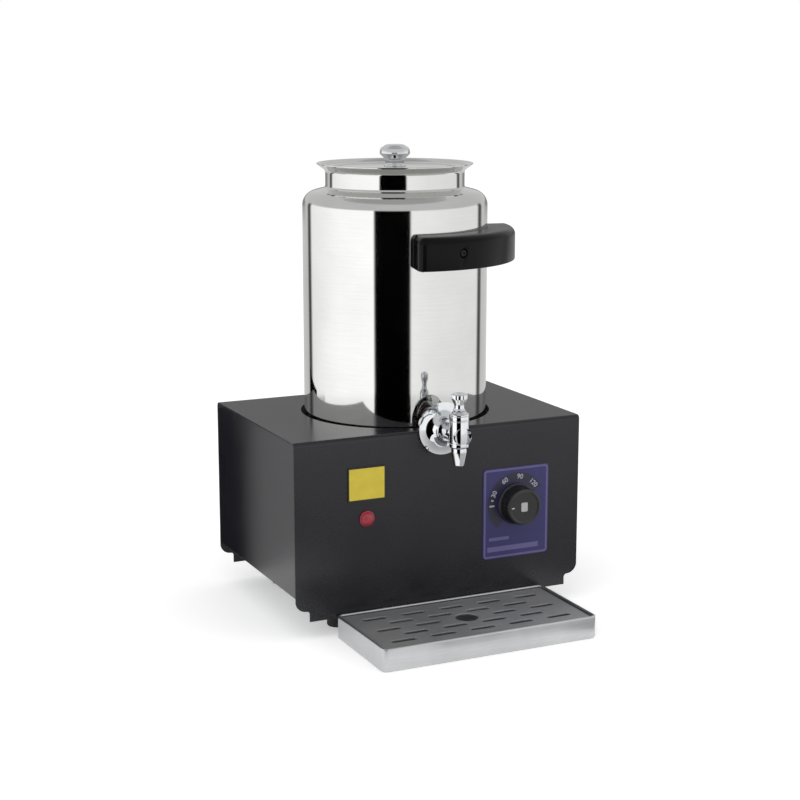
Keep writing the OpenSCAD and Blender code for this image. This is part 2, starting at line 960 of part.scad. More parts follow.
module thermostat_knob() {
    hollow_r = knob_r - knob_wall;
    hollow = knob_depth - knob_web;
    color("#1d1d1f")
        difference() {
            translate([thermostat_x, knob_back, thermostat_z])
                to_front()
                    rotate_extrude()
                        polygon([
                            [0, 0], [knob_hub_r, 0], [knob_hub_r, hollow],
                            [knob_face_r - knob_edge, hollow], [hollow_r, knob_edge], [hollow_r, 0],
                            [knob_r, 0], [knob_r, knob_edge],
                            [knob_face_r + knob_flare, 2 * knob_edge],
                            [knob_face_r, knob_depth - knob_edge],
                            [knob_face_r - knob_edge, knob_depth], [0, knob_depth]
                        ]);
            translate([thermostat_x, knob_back + over, thermostat_z])
                to_front()
                    cylinder(r = shaft_r + fixed_fit, h = over + knob_depth - shaft_tip + fixed_fit);
        }
}

module sensor_bulb() {
    color("#b87333")
        translate([bulb_x, bulb_y, bulb_top - bulb_len])
            cylinder(r = bulb_r, h = bulb_len);
}

module bulb_clip() {
    low = bulb_top - bulb_len / 2 - clip_h / 2;
    color("#9da0a4")
        difference() {
            rotate([0, 0, bulb_angle])
                translate([shelf_r, -clip_w / 2, low])
                    cube([bath_sheet + 2 * bulb_r + clip_wall, clip_w, clip_h]);
            translate([0, 0, low - over])
                cylinder(r = shelf_r + bath_sheet + fixed_fit, h = clip_h + 2 * over);
            translate([bulb_x, bulb_y, low - over])
                cylinder(r = bulb_r + fixed_fit, h = clip_h + 2 * over);
        }
}

module capillary_tube() {
    high = bulb_top + capillary_rise;
    back = -wall_in + thermostat_d;
    out = back + capillary_out;
    entry_z = thermostat_z + thermostat_w / 4;
    color("#b87333")
        run([
            [bulb_x, bulb_y, bulb_top], [bulb_x, bulb_y, high], [bulb_x, out, high],
            [thermostat_x, out, high], [thermostat_x, out, entry_z], [thermostat_x, back, entry_z]
        ], capillary_r);
}

// Front panel fittings

module dial_plate() {
    color("#2f2f70")
        difference() {
            translate([thermostat_x, -half_d, dial_z])
                to_front()
                    linear_extrude(plate_t)
                        rounded_rect(dial_w, dial_h, dial_r);
            translate([thermostat_x, -half_d + over, thermostat_z])
                to_front()
                    cylinder(r = shaft_hole_r, h = plate_t + 2 * over);
            thermostat_screw_places()
                cylinder(r = therm_screw_r + fixed_fit, h = 2 * (plate_t + over), center = true);
        }
}

module label_plate() {
    color("#d8c64a")
        translate([-lamp_x, -half_d, label_z])
            to_front()
                linear_extrude(plate_t)
                    rounded_rect(label_w, label_h, over);
}

module pilot_lamp_lens() {
    color("#a02020")
        translate([-lamp_x, -half_d, lamp_z])
            to_front()
                rotate_extrude()
                    polygon(concat(
                        [[0, -lens_spigot], [lens_spigot_r, -lens_spigot], [lens_spigot_r, 0], [lamp_r, 0]],
                        [for (p = arc([0, 0], 1, 0, 90)) [lamp_r * p[0], lens_flange + lens_dome * p[1]]]
                    ));
}

module pilot_lamp_body() {
    color("#1a1a1a") {
        translate([-lamp_x, -half_d, lamp_z])
            to_rear()
                difference() {
                    cylinder(r = lamp_body_r, h = sheet + lamp_len);
                    translate([0, 0, -over])
                        cylinder(r = lens_spigot_r + fixed_fit, h = lens_spigot + over + fixed_fit);
                }
        for (s = [-1, 1])
            translate([-lamp_x + s * lamp_body_r / 2, lamp_back - lamp_blade / 2 - over / 2, lamp_z])
                cube([lamp_blade_t, lamp_blade + over, 2 * lead_r], center = true);
    }
}

module pilot_lamp_nut() {
    color("#2a2a2a")
        translate([-lamp_x, -wall_in, lamp_z])
            to_rear()
                hex_nut(lamp_body_r * ring_nut_k, lamp_body_r + fixed_fit, lamp_nut_h);
}

// Terminal block and leads

module block_ways() {
    for (i = [-1 : 1], s = [-1, 1])
        translate([block_x + i * block_pitch, block_y + s * block_size[1] / 4, base_top + block_size[2]])
            children();
}

module terminal_block() {
    color("#e6e2d6")
        difference() {
            translate([block_x - block_size[0] / 2, block_y - block_size[1] / 2, base_top])
                cube(block_size);
            block_ways()
                translate([0, 0, -block_screw_h])
                    cylinder(r = block_hole_r, h = block_screw_h + over);
        }
}

module terminal_screws() {
    color("#b08d4a")
        block_ways()
            translate([0, 0, -block_screw_h])
                cylinder(r = block_hole_r - fixed_fit, h = block_screw_h - over);
}

module element_leads() {
    near = block_y - block_size[1] / 2;
    way_x = block_x + block_pitch;
    therm_x = thermostat_x + blade_at;
    color("#8c2f2f") {
        run([
            [way_x, near, block_wire_z], [way_x, near - lead_gap, block_wire_z],
            [way_x, near - lead_gap, lead_z], [-leg_x, near - lead_gap, lead_z],
            [-leg_x, leg_y, lead_z], [-leg_x, leg_y, pin_end]
        ], lead_r);
        run([
            [leg_x, leg_y, pin_end], [leg_x, leg_y, lead_z], [therm_x, leg_y, lead_z],
            [therm_x, blade_mid, lead_z], [therm_x, blade_mid, blade_low]
        ], lead_r);
    }
}

module lamp_leads() {
    near = block_y - block_size[1] / 2;
    color("#2f4f8c")
        for (s = [0, 1]) {
            way_x = block_x + (s - 1) * block_pitch;
            blade_x = -lamp_x + (2 * s - 1) * lamp_body_r / 2;
            turn_y = lamp_back + (s + 1 / 2) * lamp_lead_gap;
            run([
                [way_x, near, block_wire_z], [way_x, turn_y, block_wire_z], [way_x, turn_y, lamp_z],
                [blade_x, turn_y, lamp_z], [blade_x, lamp_back, lamp_z]
            ], lead_r);
        }
}

module supply_lead() {
    far = block_y + block_size[1] / 2;
    therm_x = thermostat_x - blade_at;
    outer_x = block_x - block_size[0] / 2 - lead_gap / 2;
    color("#6b4a2a")
        run([
            [therm_x, blade_mid, blade_low], [therm_x, blade_mid, lead_z],
            [therm_x, lead_front, lead_z], [outer_x, lead_front, lead_z],
            [outer_x, far + lead_gap, lead_z], [block_x, far + lead_gap, lead_z],
            [block_x, far + lead_gap, block_wire_z], [block_x, far, block_wire_z]
        ], lead_r);
}

module cable_gland() {
    dome_r = gland_hex - gland_dome_inset;
    color("#1c1c1c")
        translate([-gland_x, half_d, gland_z])
            to_rear()
                difference() {
                    union() {
                        cylinder(r = gland_hex, h = gland_flange, $fn = 6);
                        translate([0, 0, gland_flange])
                            rotate_extrude()
                                polygon([
                                    [0, 0], [dome_r, 0], [dome_r, gland_dome_side],
                                    [gland_bore_r + gland_mouth, gland_dome], [0, gland_dome]
                                ]);
                        translate([0, 0, -gland_thread])
                            cylinder(r = gland_r, h = gland_thread + over);
                    }
                    translate([0, 0, -gland_thread - over])
                        cylinder(r = gland_bore_r, h = gland_thread + gland_flange + gland_dome + 2 * over);
                }
}

module gland_nut() {
    color("#1c1c1c")
        translate([-gland_x, wall_in, gland_z])
            to_front()
                hex_nut(gland_hex, gland_r + fixed_fit, gland_nut_h);
}

// Urn and lid

// Urn wall at a depth into the sheet: 0 is its outside
function urn_wall(t) = concat(
    arc([urn_r - urn_foot_r, urn_floor + urn_foot_r], urn_foot_r - t, -90, 0),
    arc([shoulder_in, shoulder_z], shoulder_r - t, 0, shoulder_angle),
    arc([bend_in, bend_z], neck_bend_r + t, 180 + shoulder_angle, 180),
    arc([flare_in, flare_z], flare_bend_r + t, 180, 180 - flare_angle)
);

module urn_body() {
    lip = [sin(flare_angle), cos(flare_angle)];
    inner_run = flare_run - over / 2;
    color("#d4d6d8")
        difference() {
            union() {
                rotate_extrude($fn = 128)
                    polygon(concat(
                        [[0, urn_floor]],
                        urn_wall(0),
                        [[rim_r, rim_z], [inner_r1 + inner_run * lip[0], inner_z1 + inner_run * lip[1]]],
                        reversed(urn_wall(urn_sheet)),
                        [[0, urn_floor + urn_sheet]]
                    ));
                translate([0, -boss_inner, tap_z])
                    to_front()
                        cylinder(r = boss_r, h = boss_face - boss_inner);
            }
            translate([0, -boss_inner + over, tap_z])
                to_front()
                    cylinder(r = barrel_r + fixed_fit, h = boss_face - boss_inner + 2 * over);
        }
}

module urn_lid() {
    color("#d4d6d8")
        difference() {
            rotate_extrude($fn = 128)
                polygon([
                    [0, lid_z], [lid_skirt_r - lid_sheet, lid_z],
                    [lid_skirt_r - lid_sheet, lid_z - lid_skirt], [lid_skirt_r, lid_z - lid_skirt],
                    [lid_skirt_r, lid_z], [lid_r, lid_z], [lid_r, lid_top], [0, lid_top]
                ]);
            translate([0, 0, lid_z - over])
                cylinder(r = lid_screw_r + fixed_fit, h = lid_sheet + 2 * over);
        }
}

module lid_knob() {
    color("#cfd1d4")
        difference() {
            rotate_extrude()
                polygon(concat(
                    [[0, lid_top], [lid_stem_r + stem_bead, lid_top],
                     [lid_stem_r, lid_top + stem_foot], [lid_stem_r, lid_top + stem_h],
                     [lid_stem_r + stem_bead, cap_low]],
                    [for (p = arc([0, 0], 1, 0, 90))
                        [lid_knob_r * p[0], cap_mid + (lid_knob_top - cap_mid) * p[1]]]
                ));
            translate([0, 0, lid_top - over])
                cylinder(r = lid_screw_r + fixed_fit, h = lid_screw_bite + 2 * over);
        }
}

module lid_knob_screw() {
    color("#b9bcc0")
        translate([0, 0, lid_z])
            mirror([0, 0, 1])
                screw(lid_screw_r, lid_sheet + lid_screw_bite);
}

// Side grip: a moulded hood that is open at the bottom for the fingers

module grip_hood_section() {
    r = grip_r - grip_round;
    translate([grip_seat_r, grip_low])
        square([r - grip_seat_r, grip_h]);
    translate([grip_seat_r, grip_low + grip_round])
        square([grip_reach - fixed_fit, grip_h - 2 * grip_round]);
    for (z = [grip_low + grip_round, grip_top - grip_round])
        translate([r, z])
            circle(grip_round);
}

module grip_hollow_section() {
    translate([grip_seat_r - over, grip_low - over])
        square([grip_reach - fixed_fit - grip_wall + over, grip_h - grip_wall + over]);
}

module grip_post_places() {
    for (s = [-1, 1])
        translate([0, 0, grip_mid])
            rotate([0, 90, grip_angle + s * grip_post_angle])
                children();
}

module side_grip() {
    hollow_span = grip_span - grip_end;
    color("#141415")
        difference() {
            rotate([0, 0, grip_angle - grip_span])
                rotate_extrude(angle = 2 * grip_span, $fn = 128)
                    grip_hood_section();
            rotate([0, 0, grip_angle - hollow_span])
                rotate_extrude(angle = 2 * hollow_span, $fn = 128)
                    grip_hollow_section();
            grip_post_places()
                translate([0, 0, urn_r])
                    cylinder(r = grip_screw_r + fixed_fit, h = grip_reach + over);
            grip_post_places()
                translate([0, 0, grip_screw_seat])
                    cylinder(r = grip_screw_r * head_k + grip_sink_gap, h = grip_screw_sink + over);
        }
}

module grip_posts() {
    tip = grip_r - grip_wall - fixed_fit;
    color("#b9bcc0")
        difference() {
            grip_post_places()
                cylinder(r = grip_post_r, h = tip);
            translate([0, 0, grip_low])
                cylinder(r = urn_r + fixed_fit / 2, h = grip_h, $fn = 128);
            grip_post_places()
                translate([0, 0, urn_r + grip_post_solid])
                    cylinder(r = grip_screw_r + fixed_fit, h = grip_reach);
        }
}

module grip_screws() {
    color("#b9bcc0")
        grip_post_places()
            translate([0, 0, grip_screw_seat])
                screw(grip_screw_r, grip_screw_len);
}

// Tap

module tap_body() {
    bore_end = spout_at - plug_r / 2;
    color("#cfd2d6")
        difference() {
            union() {
                translate([0, -tail_end, tap_z])
                    to_front()
                        cylinder(r = barrel_r, h = spout_at - tail_end);
                translate([0, -collar_back, tap_z])
                    to_front()
                        cylinder(r = gasket_r, h = collar_t);
                translate([0, -spout_at, spout_low])
                    rotate_extrude()
                        polygon([
                            [0, 0], [spout_r - over, 0], [spout_r, over],
                            [spout_r, spout_up + spout_down], [0, spout_up + spout_down]
                        ]);
            }
            translate([0, -tail_end + over, tap_z])
                to_front()
                    cylinder(r = waterway_r, h = bore_end - tail_end + over);
            translate([0, -spout_at, plug_low])
                cylinder(r = plug_r + turn_fit, h = spout_top - plug_low + over);
            translate([0, -spout_at, spout_low - over])
                cylinder(r = waterway_r, h = plug_low - spout_low + 2 * over);
            translate([0, -spout_at, spout_low - over])
                cylinder(r = spigot_r + fixed_fit, h = socket_depth + over);
        }
}

module tap_rosette() {
    bell_r = rosette_r - rosette_neck;
    bell_d = rosette_d - rosette_rim;
    color("#cfd2d6")
        translate([0, -rosette_back, tap_z])
            to_front()
                difference() {
                    rotate_extrude()
                        polygon(concat(
                            [[0, 0], [rosette_r - rosette_rim / 2, 0], [rosette_r, rosette_rim / 2]],
                            [for (p = arc([1, 1], 1, 270, 180))
                                [rosette_neck + bell_r * p[0], rosette_rim + bell_d * p[1]]],
                            [[0, rosette_d]]
                        ));
                    translate([0, 0, -over])
                        cylinder(r = barrel_r + fixed_fit, h = rosette_d + 2 * over);
                }
}

module tap_outer_gasket() {
    color("#6e2a20")
        translate([0, -boss_face, tap_z])
            to_front()
                tube(gasket_r, barrel_r + fixed_fit, gasket_t);
}

module tap_inner_gasket() {
    color("#6e2a20")
        translate([0, -boss_inner, tap_z])
            to_rear()
                tube(gasket_r, barrel_r + fixed_fit, gasket_t);
}

module tap_lock_nut() {
    color("#c2a25a")
        translate([0, -boss_inner + gasket_t, tap_z])
            to_rear()
                hex_nut(lock_nut_r, barrel_r + fixed_fit, lock_nut_h);
}

module tap_nozzle() {
    bore = nozzle_r - nozzle_wall;
    color("#cfd2d6")
        translate([0, -spout_at, spout_low])
            difference() {
                rotate_extrude()
                    polygon([
                        [0, -nozzle_len], [nozzle_r, -nozzle_len], [nozzle_top_r, -nozzle_collar],
                        [nozzle_top_r, 0], [spigot_r, 0], [spigot_r, socket_depth - fixed_fit],
                        [0, socket_depth - fixed_fit]
                    ]);
                translate([0, 0, -nozzle_len - over])
                    cylinder(r = bore, h = nozzle_len + socket_depth + 2 * over);
            }
}

// Plug with an elbow port: its side opening faces sideways while the tap is shut
module tap_plug() {
    low = plug_low + plug_gap;
    high = spout_top - plug_gap;
    color("#c2a25a")
        translate([0, -spout_at, 0])
            difference() {
                union() {
                    translate([0, 0, low])
                        cylinder(r = plug_r, h = high - low);
                    translate([0, 0, low])
                        cylinder(r = stem_r, h = stem_top - low);
                }
                translate([0, 0, low - over])
                    cylinder(r = port_r, h = tap_z - low + over);
                translate([0, 0, tap_z])
                    rotate([0, 90, 0])
                        cylinder(r = port_r, h = plug_r + over);
                translate([0, 0, stem_top - handle_screw_len - over])
                    cylinder(r = handle_screw_r + fixed_fit, h = handle_screw_len + 2 * over);
            }
}

module tap_bonnet() {
    color("#cfd2d6")
        translate([0, -spout_at, spout_top])
            difference() {
                rotate_extrude()
                    polygon([
                        [0, 0], [spout_r, 0], [spout_r, bonnet_edge],
                        [handle_waist_r + handle_bead, bonnet_h], [0, bonnet_h]
                    ]);
                translate([0, 0, -over])
                    cylinder(r = stem_r + turn_fit, h = bonnet_h + 2 * over);
            }
}

// Handle with a waist and a flared top, gripped on its rounded flutes
module tap_handle() {
    color("#cfd2d6")
        translate([0, -spout_at, handle_low])
            difference() {
                rotate_extrude()
                    polygon([
                        [0, 0], [handle_waist_r + handle_bead, 0], [handle_waist_r, waist_low],
                        [handle_waist_r, waist_high], [handle_r - handle_bead, flare_low],
                        [handle_r, flare_low + flare_edge], [handle_r, handle_h - flare_edge],
                        [handle_r - handle_bead, handle_h], [0, handle_h]
                    ]);
                for (i = [0 : flute_count - 1])
                    rotate([0, 0, (i + 1 / 2) * 360 / flute_count])
                        translate([handle_r + flute_r - flute_depth, 0, waist_high])
                            cylinder(r = flute_r, h = handle_h);
                translate([0, 0, -over])
                    cylinder(r = stem_r + fixed_fit, h = stem_top - handle_low + over);
                translate([0, 0, stem_top - handle_low - over])
                    cylinder(r = handle_screw_r * head_k + fixed_fit, h = handle_well + 2 * over);
            }
}

module tap_handle_screw() {
    color("#b9bcc0")
        translate([0, -spout_at, stem_top])
            screw(handle_screw_r, handle_screw_len);
}

// Drip tray

module tray_pan() {
    w = tray_w - 2 * tray_sheet;
    d = tray_d - 2 * tray_sheet;
    r = tray_r - tray_sheet;
    color("#c4c6c8")
        translate([0, -tray_mid, 0])
            difference() {
                linear_extrude(tray_h)
                    rounded_rect(tray_w, tray_d, tray_r);
                translate([0, 0, tray_sheet])
                    linear_extrude(tray_h - 2 * tray_sheet)
                        rounded_rect(w, d, r);
                translate([0, 0, tray_h / 2])
                    linear_extrude(tray_h)
                        rounded_rect(w - 2 * tray_rim, d - 2 * tray_rim, max(r - tray_rim, over));
            }
}

module drip_grille() {
    leg = grille_low - tray_sheet;
    leg_w = grille_w - 4 * tray_r;
    color("#8f9194")
        translate([0, -tray_mid, 0]) {
            translate([0, 0, grille_low])
                linear_extrude(grille_t)
                    difference() {
                        rounded_rect(grille_w, grille_d, grille_r);
                        circle(drain_r);
                        for (j = [-row_count : row_count])
                            grille_row(j);
                    }
            for (s = [-1, 1])
                translate([-leg_w / 2, (s * (grille_d - grille_t) - grille_t) / 2, tray_sheet])
                    cube([leg_w, grille_t, leg + grille_t / 2]);
        }
}

// One row of slots: every second row is set over by half a pitch
module grille_row(j) {
    odd = abs(j) % 2;
    for (i = [-slot_count : slot_count - odd])
        if (odd == 1 || j != 0 || i != 0)
            translate([(i + odd / 2) * slot_pitch, j * row_pitch])
                slot_2d(slot_len, slot_w);
}

placed() casing_wrap();
placed() side_panel_left();
placed() side_panel_right();
placed() base_plate();
placed() feet();
placed() foot_screws();
placed() base_screws();
placed() panel_screws();
placed() water_bath();
placed() bath_studs();
placed() bath_nuts();
placed() heating_element();
placed() element_bushes();
placed() element_seals();
placed() element_nuts();
placed() thermostat_body();
placed() thermostat_screws();
placed() thermostat_shaft();
placed() thermostat_knob();
placed() sensor_bulb();
placed() bulb_clip();
placed() capillary_tube();
placed() dial_plate();
placed() label_plate();
placed() pilot_lamp_lens();
placed() pilot_lamp_body();
placed() pilot_lamp_nut();
placed() terminal_block();
placed() terminal_screws();
placed() element_leads();
placed() lamp_leads();
placed() supply_lead();
placed() cable_gland();
placed() gland_nut();
placed() urn_body();
placed() urn_lid();
placed() lid_knob();
placed() lid_knob_screw();
placed() side_grip();
placed() grip_posts();
placed() grip_screws();
placed() tap_body();
placed() tap_rosette();
placed() tap_outer_gasket();
placed() tap_inner_gasket();
placed() tap_lock_nut();
placed() tap_nozzle();
placed() tap_plug();
placed() tap_bonnet();
placed() tap_handle();
placed() tap_handle_screw();
placed() tray_pan();
placed() drip_grille();
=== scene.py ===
import math

import bmesh
import bpy
from mathutils import Matrix, Vector


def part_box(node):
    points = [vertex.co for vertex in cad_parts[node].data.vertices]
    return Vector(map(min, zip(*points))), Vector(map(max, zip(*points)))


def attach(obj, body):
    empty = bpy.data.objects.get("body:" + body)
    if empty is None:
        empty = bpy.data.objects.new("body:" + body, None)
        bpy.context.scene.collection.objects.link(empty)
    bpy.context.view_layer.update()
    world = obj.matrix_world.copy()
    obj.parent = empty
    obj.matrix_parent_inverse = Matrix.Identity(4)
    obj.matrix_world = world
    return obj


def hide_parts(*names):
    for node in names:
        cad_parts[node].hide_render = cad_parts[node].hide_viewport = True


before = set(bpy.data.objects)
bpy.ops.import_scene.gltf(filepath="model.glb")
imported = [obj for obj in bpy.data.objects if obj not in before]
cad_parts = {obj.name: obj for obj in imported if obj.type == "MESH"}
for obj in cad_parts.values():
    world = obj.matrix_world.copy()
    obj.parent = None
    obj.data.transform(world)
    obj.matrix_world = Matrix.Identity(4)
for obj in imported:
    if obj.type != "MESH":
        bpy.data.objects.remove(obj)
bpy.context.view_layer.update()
scene = bpy.context.scene
scene.view_settings.view_transform = "Standard"
print("frame loaded:", len(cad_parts), "nodes")


# colour and shader helpers

def toLinear(hexText):
    parts = [int(hexText[i:i + 2], 16) / 255 for i in (1, 3, 5)]
    return tuple(c / 12.92 if c <= 0.04045 else ((c + 0.055) / 1.055) ** 2.4 for c in parts) + (1.0,)


def grey(level):
    return (level, level, level, 1.0)


def addNode(tree, kind, settings=None, inputs=None):
    node = tree.nodes.new(kind)
    for key, value in (settings or {}).items():
        setattr(node, key, value)
    for key, value in (inputs or {}).items():
        if isinstance(value, bpy.types.NodeSocket):
            tree.links.new(value, node.inputs[key])
        else:
            node.inputs[key].default_value = value
    return node


def mathNode(tree, operation, *values):
    return addNode(tree, "ShaderNodeMath", {"operation": operation}, dict(enumerate(values))).outputs[0]


def mapRange(tree, value, source, target=(0.0, 1.0), how="LINEAR"):
    ends = dict(zip(("From Min", "From Max", "To Min", "To Max"), (*source, *target)))
    node = addNode(tree, "ShaderNodeMapRange", {"interpolation_type": how}, {"Value": value, **ends})
    return node.outputs[0]


def rampStops(ramp, stops):
    elements = ramp.color_ramp.elements
    for place, colour in stops[1:-1]:
        elements.new(place).color = colour
    for element, (place, colour) in ((elements[0], stops[0]), (elements[-1], stops[-1])):
        element.position = place
        element.color = colour


noiseSet = {"grainDetail": 3.0, "smudgeDetail": 4.0, "smudgeMm": 60, "grainShare": 0.5,
            "spread": (0.45, 1.05)}


def makeFinish(spec):
    # one noise sets the grain, a second one the smudges; sizes are in millimetres
    material = bpy.data.materials.new(spec["name"])
    material.use_nodes = True
    tree = material.node_tree
    shader = tree.nodes["Principled BSDF"]
    place = addNode(tree, "ShaderNodeTexCoord").outputs["Object"]
    stretched = addNode(tree, "ShaderNodeMapping", None, {
        "Vector": place, "Scale": spec.get("stretch", (1, 1, 1))})
    grain = addNode(tree, "ShaderNodeTexNoise", None, {
        "Vector": stretched.outputs[0], "Scale": 1000 / spec["grainMm"],
        "Detail": noiseSet["grainDetail"]}).outputs[0]
    smudge = addNode(tree, "ShaderNodeTexNoise", None, {
        "Vector": place, "Scale": 1000 / spec.get("smudgeMm", noiseSet["smudgeMm"]),
        "Detail": noiseSet["smudgeDetail"]}).outputs[0]
    both = mathNode(tree, "MULTIPLY_ADD", grain, noiseSet["grainShare"], smudge)
    tint = addNode(tree, "ShaderNodeValToRGB", None, {"Fac": mapRange(tree, both, noiseSet["spread"])})
    rampStops(tint, [(0.0, toLinear(spec["colours"][0])), (1.0, toLinear(spec["colours"][1]))])
    gloss = mapRange(tree, both, noiseSet["spread"], spec["rough"])
    strength, depthMm = spec["relief"]
    relief = addNode(tree, "ShaderNodeBump", None, {
        "Height": grain, "Strength": strength, "Distance": depthMm / 1000})
    for key, output in (("Base Color", tint.outputs[0]), ("Roughness", gloss), ("Normal", relief.outputs[0])):
        tree.links.new(output, shader.inputs[key])
    surface = {"IOR": spec["ior"]} if "ior" in spec else {"Metallic": 1.0}  # without ior it is bare metal
    for key, value in {**surface, **spec.get("shader", {})}.items():
        shader.inputs[key].default_value = value
    return material


# finishes, each named for its material and how its surface was made; relief is bump strength and depth in mm

